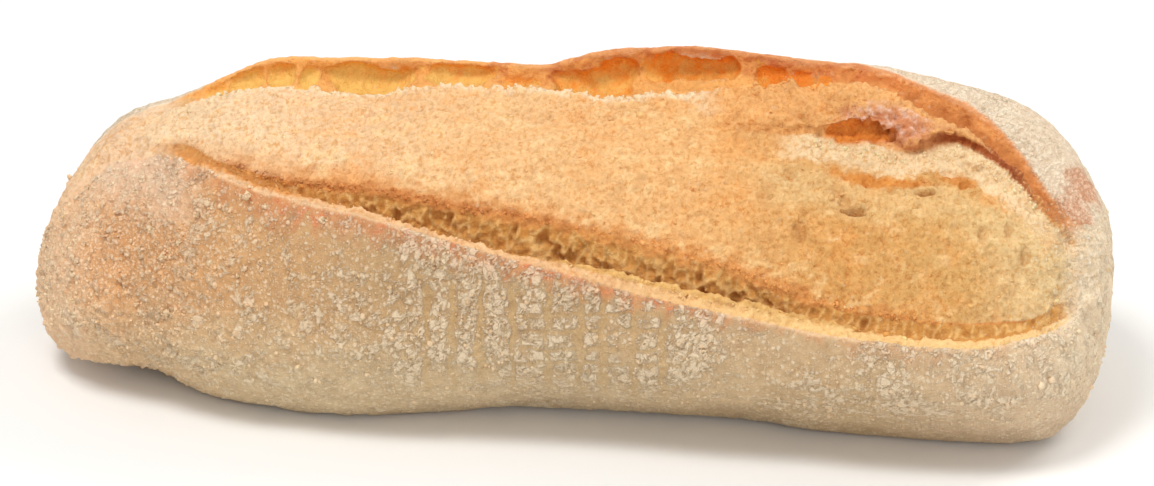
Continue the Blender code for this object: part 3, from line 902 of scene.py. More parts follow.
class Flour:
    """The flour on the skin: plates and grit that the mesh can hold, and the finer dust."""

    def __init__(self, points, survey):
        self.plates = np.zeros(len(points))
        self.height = np.zeros(len(points))
        self.dust = np.zeros(len(points))
        end = smooth(72, 80, survey.x)
        lobe = smooth(-52, -60, survey.x) * smooth(10, 20, survey.z)
        rim_width = along(survey.x, ((-64, 0.6), (-54, 3.6), (42, 4.0), (54, 1.2), (86, 0.6)))
        rim_free = smooth(rim_width, 1.5 * rim_width, survey.away("rim") + end * 9)
        cover = survey.on("front_foot", "lip") + survey.on("rim", "back_foot") * rim_free
        cover = np.clip(cover + survey.on("lip", "rim") * 0.5 * end, 0, 1)
        chosen = np.nonzero(cover > 0)[0]
        spots = points[chosen]
        near = survey.part(chosen)
        wave = noise_at(spots, 2.6, 12.0)
        drift = fractal_at(spots, 12.0, 3, 2.0)
        patch = fractal_at(spots, 2.4, 5, 5.0)
        warp = np.stack([fractal_at(spots, 1.4, 2, k) for k in (20.0, 30.0, 40.0)], 1)
        crack, own = crack_at(spots + 0.8 * warp, PLATE_SIZE)
        grit_crack, grit_own = crack_at(spots + 0.35 * warp, GRIT_SIZE, 3.0)
        back = near.on("rim", "back_foot")
        front = near.on("front_foot", "lip")
        at_lobe = lobe[chosen]
        printed = band(near.x, -21, 26, 4) * smooth(11, 17, near.z)
        want = 0.40 + 0.26 * drift + 0.30 * patch + 0.38 * printed + 0.30 * back
        want -= 0.22 * smooth(12, 5, near.z)
        want -= 0.30 * near.near("lip", 2.2) * band(near.x, -50, 20, 5)
        bare = streaks(near, wave)
        plate = smooth(0.02, 0.16, crack) * smooth(0.34, 0.56, want + 0.3 * (own - 0.5))
        grit = smooth(0.03, 0.4, grit_crack) * smooth(0.35, 0.6, want + 0.8 * (grit_own - 0.5))
        plate = between(plate, grit, at_lobe) * (1 - 0.95 * bare) * (1 - 0.75 * back)
        self.plates[chosen] = plate * cover[chosen]
        self.height[chosen] = FLOUR_THICKNESS * plate * between(0.8, 1.9, at_lobe) * cover[chosen]
        dust = 0.42 + 0.22 * drift + 0.2 * patch + 0.16 * at_lobe + 0.42 * back
        dust *= (1 - 0.8 * bare) * cover[chosen]
        dust -= 0.25 * near.near("lip", 2.2) * front
        self.dust[chosen] = np.clip(dust, 0, 1)


points, normals = mesh_points(loaf)
flour = Flour(points, survey)
set_mesh_points(loaf, points + normals * flour.height[:, None])
print("share of the skin under flour plates:", round(float(flour.plates.mean()), 2))

# %% [markdown]
# ## Browning
# The colour of a crust is a record of the heat it met: thin raised edges brown first, flour stays
# pale, and crumb torn open late in the bake stays the colour of straw. So the colour is painted
# from the same landmarks as the relief, one layer over another, as a painter would glaze it.

# %% Choose the colours


def linear(code):
    """A colour code as three linear values, the kind that light adds up in."""
    parts = [int(code[i : i + 2], 16) / 255 for i in (1, 3, 5)]
    return np.array([c / 12.92 if c < 0.04045 else ((c + 0.055) / 1.055) ** 2.4 for c in parts])


def colours_along(x, stations):
    """Colours at every x, blended between the stations."""
    places = [place for place, _ in stations]
    shades = np.array([linear(code) for _, code in stations])
    return np.stack([np.interp(x, places, shades[:, k]) for k in range(3)], 1)


FRONT_LOW = (
    (-84, "#EACAA4"), (-66, "#D8B68C"), (-45, "#D8BF97"), (0, "#CFB691"), (50, "#CAAC83"),
    (84, "#E3C7A6"),
)
FRONT_HIGH = (
    (-84, "#F3C498"), (-66, "#DCA26C"), (-48, "#D2A06C"), (-24, "#C09C70"), (10, "#BD9C74"),
    (50, "#C9A880"), (84, "#E6C9A4"),
)
BLOOM = (
    (-84, "#F6D0AA"), (-60, "#F7D2AA"), (-38, "#F6CB9B"), (-12, "#F5C58D"), (22, "#F1B978"),
    (45, "#E0A65E"), (64, "#E4B26D"), (80, "#EFD09E"),
)
TOP_LOBE = "#F4D0B0"
LEFT_TOP_HIGHLIGHT = "#FCDCB0"
STREAK_OLIVE = "#B4925C"
LEFT_TAN = "#FAD1A8"
LIP_BROWN = "#D38C5A"
LIP_RED = "#E07044"
LIP_STRIP = ((-70, "#F0BE8C"), (10, "#F3C490"), (36, "#FCD08C"), (86, "#FFD898"))
SHELF = "#EDBC74"
PALE_EDGE = "#FBD6AA"
TORN_WALL = "#D4964C"
TORN_WEB = "#EDBD78"
TORN_BROWN_AND_SHADE = "#B67634"
EDGE_BROWN = "#E39C56"
EDGE_DARK = "#CE8242"
SHUT_BROWN_AND_SHADE = "#CC8644"
BLOOM_BROWN = "#E29C54"
PIT_BROWN_AND_SHADE = "#BA7E3E"
PALE_PATCH = "#FADCA4"
CREAM_ZONE = "#EAC88E"
PALE_CREST = "#FFE3BC"
PALE_STRIP = "#FFEAC6"
PALE_TEAR = "#FADAAC"
ORANGE_RIM = "#DD9040"
FLAP = "#EDAE6A"
EAR_SPOT = "#C8703E"
SCORCH = "#DE9466"
SCORCH_VIOLET = "#F2CCB8"
CAVITY_ORANGE = "#EC8F38"
CAVITY_DARK = "#B4662C"
UNDERCUT_SHADOW = "#A4501E"
EAR_HOLLOW_PALE = "#FFD072"
EAR_HOLLOW_BROWN_SHADE = "#F68F20"
EAR_WEB = "#F6B466"
EAR_RIBBON = "#F0A45E"
RIBBON_SHADE = "#CA7A3A"
RIM_HIGHLIGHT = "#F7BC88"
EAR_RIM = "#E2904E"
EAR_RIM_LEFT = "#FAB05E"
BACK_CRUST = "#FDE6CA"
BACK_WRINKLE = "#CDB896"
BACK_RED = "#D98E62"
RIGHT_END_CRUST = "#F8E1BF"
UNDERSIDE = "#C79F6E"
print("colours along the bloom:", [code for _, code in BLOOM])

# %% [markdown]
# ## The front and the lip
# The front is browner high up, where the crust bulged towards the heat, and brownest in a band
# under the lip. The cut's edge above it stays pale.

# %% Paint the front and the lip


class Coat:
    """Layers of colour on the skin."""

    def __init__(self, points):
        self.shade = np.tile(linear(UNDERSIDE), (len(points), 1))

    def glaze(self, colour, mask):
        """Covers the skin with a colour, or a colour for each point, as far as the mask says."""
        colour = linear(colour) if isinstance(colour, str) else colour
        mask = np.clip(mask, 0, 1)[:, None]
        self.shade = self.shade * (1 - mask) + colour * mask


def spot(points, middle, radii, raggedness):
    """1 in the middle of a spot, 0 outside it, with a ragged edge."""
    gap = np.linalg.norm((points - middle) / radii, axis=1)
    return smooth(1.25, 0.55, gap + 0.35 * raggedness)


points, normals = mesh_points(loaf)
x, y, z = survey.x, survey.y, survey.z
coarse = fractal_at(points, 8.0, 4, 31.0)
mottle = fractal_at(points, 2.6, 5, 37.0)
speckle = noise_at(points, 0.8, 41.0)
wave = noise_at(points, 1.7, 14.0)
coat = Coat(points)
off_left_end = smooth(-67, -58, x)

front = survey.on("front_foot", "lip")
rise = smooth(8, 26, z + 4 * coarse)
coat.glaze(colours_along(x, FRONT_LOW), front)
coat.glaze(colours_along(x, FRONT_HIGH), front * rise)
coat.glaze(TOP_LOBE, front * smooth(-50, -62, x) * smooth(28, 34, z + 2 * coarse) * 0.9)
coat.glaze(STREAK_OLIVE, front * streaks(survey, noise_at(points, 2.6, 12.0)) * 0.35)
drips = noise_at(points * [1, 0.3, 0.1], 1.3, 21.0)
below_lip = survey.height("lip") - z + 2.2 * drips
brown_reach = along(x, ((-60, 2.0), (-40, 5.0), (0, 4.0), (30, 2.5), (70, 1.5), (86, 1.0)))
brown_share = along(x, ((-72, 0.0), (-56, 0.7), (-10, 0.9), (25, 0.8), (40, 0.4), (86, 0.3)))
brown_band = front * brown_share * smooth(brown_reach, 0.2 * brown_reach, below_lip + 1.5 * mottle)
coat.glaze(LIP_BROWN, brown_band * 0.8)
red_band = front * band(x, -48, 24, 6) * band(below_lip, 0.2, 1.8, 0.6)
coat.glaze(LIP_RED, red_band * smooth(0.0, 0.6, mottle + 0.8 * speckle) * 0.42)
coat.glaze(PALE_EDGE, smooth(0.9, 0.2, survey.away("lip") + 0.4 * mottle) * off_left_end * 0.7)

print("points on the front:", int(front.sum()))

# %% [markdown]
# ## The torn wall
# Crumb torn open is pale on the webs between its pockets and darker in the pockets: partly its own
# brown, partly painted shade in the hollows. At the left the cut has stayed shut; there the crevice
# is painted brown, partly browned crust and partly painted shade.

# %% Paint the torn wall
coat.glaze(colours_along(x, LIP_STRIP), survey.on("lip", "lip_inner") * off_left_end)
coat.glaze(TORN_WALL, survey.on("lip_inner", "crevice") * off_left_end)
coat.glaze(SHELF, survey.on("lip_inner", "crevice") * along(x, SHELF_SHARE))
# Painted shade: left of the open cut the lip strip and narrow crevice are painted browner, partly
# browned crust and partly painted shade.
shut = smooth(-32, -40, x) * survey.on("lip", "crevice")
coat.glaze(EDGE_BROWN, shut * smooth(0.3, 0.9, survey.away("lip") + 0.4 * mottle) * off_left_end)
wall = survey.on("crevice", "bloom_edge") * off_left_end
on_shelf = smooth(SHELF_REACH + 0.4, SHELF_REACH - 0.6, survey.behind("lip") + 0.5 * mottle)
on_shelf *= along(x, SHELF_SHARE)
hollow, web, low = wall_pockets(survey, wave)
coat.glaze(EDGE_BROWN, wall)
coat.glaze(TORN_WALL, wall * low)
# Painted shade: the pockets are painted darker as far as they are hollow.
coat.glaze(TORN_BROWN_AND_SHADE, wall * smooth(0.3, 0.85, hollow) * 0.85)
coat.glaze(TORN_WEB, wall * np.clip(web + 0.3 * mottle * low, 0, 1) * 0.9)
coat.glaze(SHELF, wall * on_shelf)
# Painted shade: the shut wall at the left is painted brown over, partly its browned crust and
# partly painted shade in the narrow crevice.
shut_wall_shade = survey.on("lip_inner", "bloom_edge") * off_left_end * smooth(-32, -44, x)
coat.glaze(SHUT_BROWN_AND_SHADE, shut_wall_shade * 0.7)
strip_dents = survey.on("lip", "lip_inner") * off_left_end
strip_dents = strip_dents * smooth(0.0, 0.5, mottle + 0.6 * speckle)
coat.glaze(SHUT_BROWN_AND_SHADE, strip_dents * 0.25)
lace = noise_at(points, (2.3, 2.0, 1.5), 51.0)
coat.glaze(TORN_BROWN_AND_SHADE, wall * on_shelf * smooth(0.05, 0.5, lace) * 0.35)
coat.glaze(TORN_WEB, wall * on_shelf * smooth(-0.1, -0.4, lace) * 0.6)

print("points on the torn wall:", int((wall > 0).sum()))

# %% [markdown]
# ## The bloom
# The bloom is cream at the left and golden at the right, mottled all over, with a brown edge
# towards the lip and a pale crest behind.

# %% Paint the bloom
bloom = survey.on("bloom_edge", "back_edge")
left_end = (1 - off_left_end) * survey.on("lip", "rim")
coat.glaze(colours_along(x, BLOOM), np.clip(bloom + left_end, 0, 1))
coat.glaze(LEFT_TAN, smooth(-70, -76, x + 3 * coarse) * (survey.strip >= 0) * 0.7)
coat.glaze(BLOOM_BROWN, bloom * smooth(0.0, 0.8, 0.8 * coarse + 1.0 * mottle) * 0.50)
coat.glaze(PALE_PATCH, bloom * smooth(0.1, 0.9, 1.1 * mottle - 0.7 * coarse) * 0.38)
cream = band(survey.behind("step_foot") + 1.6 * mottle + 1.2 * coarse, -15, -6.2, 1.6)
cream *= band(x, 33, 80, 5)
coat.glaze(CREAM_ZONE, bloom * cream * 0.5)
# Painted shade: the pits are painted darker inside, partly their brown and partly painted shade in
# the hollows.
_, pit_shade = pit_shares(survey.spots(), wave)
coat.glaze(PIT_BROWN_AND_SHADE, bloom * pit_shade * 0.8)
edge_reach = along(
    x, ((-62, 2.0), (-48, 7.0), (-30, 6.0), (-10, 3.6), (30, 3.0), (46, 1.6), (86, 0.5))
)
near_edge = smooth(edge_reach, 0.1 * edge_reach, survey.away("bloom_edge") + 1.8 * mottle)
coat.glaze(EDGE_BROWN, bloom * near_edge * band(x, -60, 60, 8) * 0.85)
edge_line = smooth(1.8, 0.3, survey.away("bloom_edge") + 0.8 * mottle) * band(x, -56, 6, 6)
coat.glaze(EDGE_DARK, (bloom + wall * (1 - low)) * edge_line * 0.75)
# Painted highlight: the top of the bloom's left half, where it faces up, is painted paler.
coat.glaze(LEFT_TOP_HIGHLIGHT, bloom * smooth(-30, -60, x) * smooth(36, 40, z + 2 * coarse) * 0.6)
crest = smooth(2.0, 0.5, survey.away("back_edge") + 1.0 * mottle) * band(x, -60, 44, 4)
coat.glaze(PALE_CREST, bloom * crest * 0.85)
coat.glaze(PALE_STRIP, spot(points, (33, 3.4, 44.8), (14, 4.2, 3.2), mottle) * bloom * 0.9)

print("points on the bloom:", int(bloom.sum()))

# %% [markdown]
# ## The second tear and the ear
# The flap above the second tear is orange and its blister scorched, with painted shadow in the gap
# under the flap. The ear's burst bubbles are pale yellow at the left and orange at the right, and
# painted darker towards their tops as painted shade.

# %% Paint the second tear and the ear
tear_away = survey.behind("step_foot")
tear = band(tear_away + 1.2 * mottle, -4.2, 2.5, 0.9) * band(x, 35, 76, 3)
below_crest = smooth(0.62, 0.42, step_share(survey) + 0.12 * wave)
coat.glaze(PALE_TEAR, bloom * tear * below_crest * 0.9)
coat.glaze(ORANGE_RIM, bloom * spot(points, (49.0, -6.6, 37.6), (9, 1.5, 2.2), mottle))
coat.glaze(ORANGE_RIM, bloom * spot(points, (62, -5.6, 38.0), (3.5, 1.4, 2), mottle) * 0.9)
flap = bloom * smooth(0.45, 0.62, step_share(survey) + 0.12 * wave)
flap = flap * (tear_away > -2) * band(x, 22, 82, 4)
coat.glaze(FLAP, flap)
coat.glaze(SCORCH, spot(points, (50.2, 0.6, 43.2), (8.5, 3.6, 3.4), mottle) * flap)
violet = spot(points, (50.4, 1.2, 44.2), (7.4, 3.2, 3.2), mottle)
coat.glaze(SCORCH_VIOLET, violet * flap * smooth(-0.4, 0.4, speckle + mottle) * 0.75)
near_tear = (np.abs(tear_away) < TEAR_REACH) * survey.on("bloom_middle", "crease")
undercut = np.clip(along(x, TEAR_UNDERCUT) / 1.6, 0, 1) * band(step_share(survey), 0.5, 0.9, 0.12)
# Painted shadow: the gap is painted dark where the crumb slips back under the flap.
coat.glaze(UNDERCUT_SHADOW, undercut * band(x, 55, 78, 2) * near_tear)
in_cavity = smooth(1.05, 0.8, cavity_gap(survey, wave)) * near_tear
coat.glaze(CAVITY_ORANGE, in_cavity)
cavity_shade = smooth(44, 50, x + 2 * mottle) * smooth(41.2, 42.6, z + 0.5 * mottle)
coat.glaze(CAVITY_DARK, in_cavity * cavity_shade * 0.55)

ear = survey.on("back_edge", "rim") * off_left_end
_, inside, high = ear_bubbles(survey, wave)
# Painted shade: the hollows are browner towards the right, and also painted darker towards their
# tops, where they lie in shade.
browner_and_shaded = np.clip(0.8 * smooth(-34, 24, x) + 0.9 * (high - 0.45) + 0.5 * mottle, 0, 1)[:, None]
hollow_colour = linear(EAR_HOLLOW_PALE) * (1 - browner_and_shaded) + linear(EAR_HOLLOW_BROWN_SHADE) * browner_and_shaded
coat.glaze(EAR_WEB, ear)
coat.glaze(hollow_colour, ear * inside)
coat.glaze(EAR_RIBBON, ear * smooth(40, 48, x + 3 * mottle))
ribbon_dark = smooth(0.75, 0.25, ear_wall_share(survey) + 0.3 * mottle)
coat.glaze(RIBBON_SHADE, ear * ribbon_dark * band(x, 52, 79, 3) * 0.85)

print("points on the ear's wall:", int((ear > 0).sum()))

# %% [markdown]
# ## The back and the rim
# The back is pale with flour, wrinkled, and red at the right end. The ear's rim, thin and high,
# is the brownest line on the roll, with a painted highlight along its edge at the right. A last
# fine mottling goes over everything, with painted shade in the hollows of the fine relief and
# painted highlight on its bumps.

# %% Paint the back and the rim
back = survey.on("rim", "back_foot")
coat.glaze(BACK_CRUST, back)
wrinkle, _ = crack_at(points * [0.45, 1.0, 1.0] + 1.6 * mottle[:, None], 3.2, 5.0)
coat.glaze(BACK_WRINKLE, back * smooth(0.09, 0.02, wrinkle) * smooth(-0.2, 0.3, coarse) * 0.7)
for middle in ((81.3, 4, 34.1), (80, -1.9, 31.9)):
    coat.glaze(BACK_RED, spot(points, middle, (3.6, 3.8, 3.8), mottle) * back * 0.8)
coat.glaze(RIGHT_END_CRUST, smooth(78, 82, x) * (survey.on("lip", "rim") + back * (z < 30)))
coat.glaze(RIGHT_END_CRUST, smooth(72, 82, x + 2 * coarse) * smooth(2, 16, z) * front * 0.7)
rim_reach = along(x, ((-66, 0.6), (-54, 3.8), (42, 4.4), (54, 1.4), (82, 1.2)))
rim_reach = rim_reach * (1 + 0.25 * mottle)
on_rim = smooth(rim_reach, 0.5 * rim_reach, survey.away("rim")) * band(x, -64, 80, 3)
rim_colour = colours_along(
    x, ((-64, EAR_RIM_LEFT), (-20, EAR_RIM_LEFT), (10, EAR_RIM), (84, EAR_RIM))
)
coat.glaze(rim_colour, on_rim * (1 - 0.8 * inside) * 0.9)
rim_spots = on_rim * (1 - 0.8 * inside) * smooth(0.05, 0.6, mottle + 0.4 * coarse)
coat.glaze(EAR_SPOT, rim_spots * band(x, -24, 52, 12) * 0.7)

# Painted highlight: a thin paler line along the rim's edge at the right.
rim_highlight = smooth(0.7, 0.2, survey.away("rim") + 0.3 * speckle) * band(x, 40, 78, 4)
coat.glaze(RIM_HIGHLIGHT, rim_highlight * 0.8)

# Painted shade and highlight: the colour is darker in the fine relief's hollows and lighter on its
# bumps, with the broad mottling on top.
tone_and_relief_shade = np.clip(1 + 0.06 * coarse + 0.11 * mottle + 0.22 * grit * (1 - 0.6 * inside), 0.6, 1.4)
coat.shade *= tone_and_relief_shade[:, None] ** [0.8, 1.0, 1.2]
gain = 1 + front * along(x, ((-84, 0.20), (-60, 0.14), (30, 0.12), (60, 0.06), (84, 0.03)))
coat.shade *= np.minimum(gain, 0.97 / coat.shade.max(axis=1))[:, None]
print("painted points:", len(points))

# %% [markdown]
# ## The crust material
# One node material serves the whole skin. The painted colour and the flour come in as attributes;
# noise finer than the mesh breaks both up, so that flour ends in crisp crumbs and the bloom is
# speckled. Bread is dry where floured and a little glossy where it browned.

# %% Store the attributes
grain = np.clip(bloom + 0.5 * ear + 0.5 * survey.on("lip", "bloom_edge"), 0, 1)
shine = np.clip(0.95 * inside * ear + 0.3 * bloom + 0.3 * ear, 0, 1) * (1 - flour.plates)


def store(mesh, name, values):
    """Stores one number for each point as an attribute."""
    attribute = mesh.attributes.new(name, "FLOAT", "POINT")
    attribute.data.foreach_set("value", values.astype(np.float32))


def store_colour(mesh, name, colours):
    """Stores one linear colour for each point as an attribute."""
    attribute = mesh.attributes.new(name, "FLOAT_COLOR", "POINT")
    with_alpha = np.ones((len(colours), 4), np.float32)
    with_alpha[:, :3] = np.clip(colours, 0, 1)
    attribute.data.foreach_set("color", with_alpha.ravel())


store_colour(loaf.data, "browning", coat.shade)
store(loaf.data, "plates", flour.plates)
store(loaf.data, "dust", flour.dust)
store(loaf.data, "grain", grain)
store(loaf.data, "shine", shine)
print("attributes on the skin:", len(loaf.data.attributes))

# %% [markdown]
# ## Short ways to build nodes
# A node tree written out in full is long. These few methods add a node, set it, link it and hand
# back its output, so that the material reads like a sum.

# %% Define the node helper


class Tree:
    """A few short ways to add and link shader nodes."""

    def __init__(self, name):
        self.material = bpy.data.materials.new(name)
        self.material.use_nodes = True
        self.nodes = self.material.node_tree.nodes
        self.links = self.material.node_tree.links
        self.principled = self.nodes["Principled BSDF"]

    def put(self, value, socket):
        if isinstance(value, bpy.types.NodeSocket):
            self.links.new(value, socket)
        else:
            socket.default_value = value

    def attribute(self, name, output="Fac"):
        node = self.nodes.new("ShaderNodeAttribute")
        node.attribute_name = name
        return node.outputs[output]

    def places(self, stretch=1.0):
        """Object coordinates in millimetres, with patterns stretched across the roll."""
        coordinates = self.nodes.new("ShaderNodeTexCoord")
        mapping = self.nodes.new("ShaderNodeMapping")
        mapping.inputs["Scale"].default_value = (1000, 1000 / stretch, 1000)
        self.links.new(coordinates.outputs["Object"], mapping.inputs["Vector"])
        return mapping.outputs["Vector"]

    def noise(self, vector, size, detail=3.0, roughness=0.6, output="Fac"):
        node = self.nodes.new("ShaderNodeTexNoise")
        node.inputs["Scale"].default_value = 1 / size
        node.inputs["Detail"].default_value = detail
        node.inputs["Roughness"].default_value = roughness
        self.links.new(vector, node.inputs["Vector"])
        return node.outputs[output]

    def warped(self, vector, size, reach):
        """The places, each moved by up to about half the reach."""
        shift = self.nodes.new("ShaderNodeVectorMath")
        shift.operation = "MULTIPLY_ADD"
        self.links.new(self.noise(vector, size, 2.0, 0.6, "Color"), shift.inputs[0])
        shift.inputs[1].default_value = (reach, reach, reach)
        self.links.new(vector, shift.inputs[2])
        return shift.outputs["Vector"]

    def cells(self, vector, size):
        """Distance from a cell's middle, and the cell's own random number."""
        node = self.nodes.new("ShaderNodeTexVoronoi")
        node.inputs["Scale"].default_value = 1 / size
        self.links.new(vector, node.inputs["Vector"])
        parts = self.nodes.new("ShaderNodeSeparateColor")
        self.links.new(node.outputs["Color"], parts.inputs["Color"])
        return node.outputs["Distance"], parts.outputs["Red"]

    def cracks(self, vector, size):
        """Distance to the nearest border between cells, 0 on the border."""
        node = self.nodes.new("ShaderNodeTexVoronoi")
        node.feature = "DISTANCE_TO_EDGE"
        node.inputs["Scale"].default_value = 1 / size
        self.links.new(vector, node.inputs["Vector"])
        return node.outputs["Distance"]

    def math(self, operation, a, b=0.0, c=0.0):
        node = self.nodes.new("ShaderNodeMath")
        node.operation = operation
        for value, socket in zip((a, b, c), node.inputs):
            self.put(value, socket)
        return node.outputs["Value"]

    def times(self, a, b):
        return self.math("MULTIPLY", a, b)

    def most(self, a, b):
        return self.math("MAXIMUM", a, b)

    def scaled(self, a, factor, added):
        return self.math("MULTIPLY_ADD", a, factor, added)

    def remap(self, value, low, high, to_low=0.0, to_high=1.0):
        node = self.nodes.new("ShaderNodeMapRange")
        node.interpolation_type = "SMOOTHSTEP"
        self.put(value, node.inputs["Value"])
        limits = {"From Min": low, "From Max": high, "To Min": to_low, "To Max": to_high}
        for name, number in limits.items():
            self.put(number, node.inputs[name])
        return node.outputs["Result"]

    def mix(self, share, a, b, blend="MIX"):
        node = self.nodes.new("ShaderNodeMix")
        node.data_type = "RGBA"
        node.blend_type = blend
        self.put(share, node.inputs["Factor"])
        self.put(a, node.inputs["A"])
        self.put(b, node.inputs["B"])
        return node.outputs["Result"]

    def grains(self, vector, size, amount):
        """Round grains of about this size, of which the amount (0 to 1) is there."""
        distance, own = self.cells(vector, size)
        there = self.remap(self.math("SUBTRACT", amount, own), -0.06, 0.06)
        return self.math("MULTIPLY", there, self.remap(distance, 0.62, 0.22))


print("node helper:", Tree.__doc__)

# %% [markdown]
# ## The crust's nodes
# Fine noise makes light and dark specks. It is the same noise that raises the bump, so the dark
# specks are partly painted shade in its low places and the light ones partly painted highlight on
# its high ones. Cells make grains of flour and cracks, and the painted attributes say where each
# belongs.

# %% Build the crust material
DARK_SPECK_SHADE = (0.86, 0.70, 0.50, 1.0)
LIGHT_SPECK_HIGHLIGHT = (1.04, 1.11, 1.22, 1.0)
DARK_GAP = (0.78, 0.62, 0.44, 1.0)
FLOUR_COLOUR = (1.0, 0.85, 0.63, 1.0)
FLOUR_SHARE = 0.62
# Sizes of the patterns in the material, in millimetres.
SPECK_SIZE = 0.62
FINE_SIZE = 0.24
PATCH_SIZE = 3.4
CRACK_SIZE = 0.85
PLATE_CRACK_SIZE = 1.6
GRAIN_SIZES = (0.75, 0.40)
BUMP_STRENGTH = 0.9
BUMP_HEIGHT = 0.75

crust = Tree("baked_crust")
place = crust.places()
bent = crust.warped(place, 0.9, 0.7)
stretched = crust.warped(crust.places(1.7), 0.9, 0.5)
browning = crust.attribute("browning", "Color")
plates_here = crust.attribute("plates")
dust_here = crust.attribute("dust")
grain_here = crust.attribute("grain")
shine_here = crust.attribute("shine")

rough = crust.noise(stretched, SPECK_SIZE, 3.0, 0.62)
fine = crust.noise(place, FINE_SIZE, 2.0, 0.70)
patchy = crust.noise(place, PATCH_SIZE, 2.0, 0.60)
contrast = crust.scaled(grain_here, 0.6, crust.remap(patchy, 0.35, 0.65, 0.05, 0.45))
# Painted shade and highlight: the specks are darker where the bump is low and lighter where it is
# high.
dark = crust.times(crust.remap(rough, 0.50, 0.34), contrast)
light = crust.times(crust.remap(rough, 0.52, 0.68), contrast)
colour = crust.mix(dark, browning, crust.mix(1.0, browning, DARK_SPECK_SHADE, "MULTIPLY"))
colour = crust.mix(light, colour, crust.mix(1.0, colour, LIGHT_SPECK_HIGHLIGHT, "MULTIPLY"))

cell_edge = crust.cracks(bent, CRACK_SIZE)
crack_share = crust.most(crust.times(grain_here, 0.28), crust.times(dust_here, 0.30))
crack = crust.times(crust.remap(cell_edge, 0.10, 0.0), crack_share)
plate_gap = crust.remap(crust.cracks(bent, PLATE_CRACK_SIZE), 0.055, 0.0)
crack = crust.most(crack, crust.times(plate_gap, crust.times(plates_here, 0.5)))
coarse_grains = crust.grains(bent, GRAIN_SIZES[0], dust_here)
fine_grains = crust.grains(stretched, GRAIN_SIZES[1], crust.times(dust_here, 1.15))
powder = crust.times(crust.remap(fine, 0.44, 0.62), dust_here)
bare_gap = crust.times(dust_here, crust.remap(coarse_grains, 0.3, 0.0, 0.0, 0.30))
bare_gap = crust.most(bare_gap, crust.times(crack, 0.65))
floured = crust.mix(FLOUR_SHARE, browning, FLOUR_COLOUR)
colour = crust.mix(bare_gap, colour, crust.mix(1.0, colour, DARK_GAP, "MULTIPLY"))
plate_edge = crust.math("ADD", plates_here, crust.scaled(fine, 1.2, -0.6))
plate_cover = crust.remap(plate_edge, 0.25, 0.90, 0.0, 0.86)
grain_cover = crust.most(crust.times(coarse_grains, 0.70), crust.times(fine_grains, 0.55))
cover = crust.most(crust.most(plate_cover, grain_cover), crust.times(powder, 0.4))
cover = crust.times(cover, crust.scaled(crack, -0.8, 1.0))
colour = crust.mix(cover, colour, floured)
crust.put(colour, crust.principled.inputs["Base Color"])

roughness = crust.scaled(shine_here, -0.40, 0.80)
crust.put(roughness, crust.principled.inputs["Roughness"])
crust.principled.inputs["Specular IOR Level"].default_value = 0.35

height = crust.scaled(rough, 0.55, crust.times(fine, 0.40))
height = crust.scaled(cover, 0.5, height)
height = crust.scaled(crack, -0.22, height)
bump = crust.nodes.new("ShaderNodeBump")
bump.inputs["Strength"].default_value = BUMP_STRENGTH
bump.inputs["Distance"].default_value = BUMP_HEIGHT * MM
crust.links.new(height, bump.inputs["Height"])
crust.links.new(bump.outputs["Normal"], crust.principled.inputs["Normal"])
print("nodes in the crust material:", len(crust.nodes))

# %% [markdown]
# ## Parts of the skin
# The skin has more triangles than one piece may have, so it is parted along its landmarks into
# front, torn wall and bloom, ear, upper and lower back, each in a left and a right half, and the
# underside. The normals of the whole skin are kept, so no seam shows where two parts meet.

# %% Part the skin
BANDS = ("floured_front", "bloom", "ear", "back_shoulder", "low_back")
BAND_STARTS = ("lip", "back_edge", "rim", "back_shoulder")
PART_NAMES = [band_name + side for band_name in BANDS for side in ("_left", "_right")]
PART_NAMES.append("underside")


def part_of_face(survey, first_corners):
    """Which part each face belongs to, from the strip and side of its first corner."""
    strips = survey.strip[first_corners]
    starts = [LINES.index(name) for name in BAND_STARTS]
    above = 2 * np.searchsorted(starts, strips, side="right") + (survey.x[first_corners] > 0)
    return np.where(strips < 0, PART_NAMES.index("underside"), above)


mesh = loaf.data
corner_starts = np.empty(len(mesh.polygons), np.int32)
mesh.polygons.foreach_get("loop_start", corner_starts)
corners = np.empty(len(mesh.loops), np.int32)
mesh.loops.foreach_get("vertex_index", corners)
parts = part_of_face(survey, corners[corner_starts]).astype(np.int32)

points, normals = mesh_points(loaf)
skin_points, skin_normals = points, normals
kept_normals = mesh.attributes.new("kept_normal", "FLOAT_VECTOR", "POINT")
kept_normals.data.foreach_set("vector", normals.astype(np.float32).ravel())
mesh.materials.clear()
for _ in PART_NAMES:
    mesh.materials.append(crust.material)
mesh.polygons.foreach_set("material_index", parts)
part_number = mesh.attributes.new("part_number", "INT", "FACE")
part_number.data.foreach_set("value", parts)

bpy.ops.object.select_all(action="DESELECT")
loaf.select_set(True)
bpy.context.view_layer.objects.active = loaf
bpy.ops.object.mode_set(mode="EDIT")
bpy.ops.mesh.select_all(action="SELECT")
bpy.ops.mesh.separate(type="MATERIAL")
bpy.ops.object.mode_set(mode="OBJECT")

for piece in list(bpy.context.selected_objects):
    piece.name = PART_NAMES[piece.data.attributes["part_number"].data[0].value]
    piece.data.attributes.remove(piece.data.attributes["part_number"])
    piece.data.polygons.foreach_set("material_index", np.zeros(len(piece.data.polygons), np.int32))
    piece.data.materials.clear()
    piece.data.materials.append(crust.material)
    piece.data.shade_smooth()
    flat = np.empty(len(piece.data.vertices) * 3, np.float32)
    piece.data.attributes["kept_normal"].data.foreach_get("vector", flat)
    piece.data.normals_split_custom_set_from_vertices(flat.reshape(-1, 3).tolist())
    piece.data.attributes.remove(piece.data.attributes["kept_normal"])
    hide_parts("roll")
    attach(piece, "root")
    print(piece.name, "has", sum(len(p.vertices) - 2 for p in piece.data.polygons), "triangles")

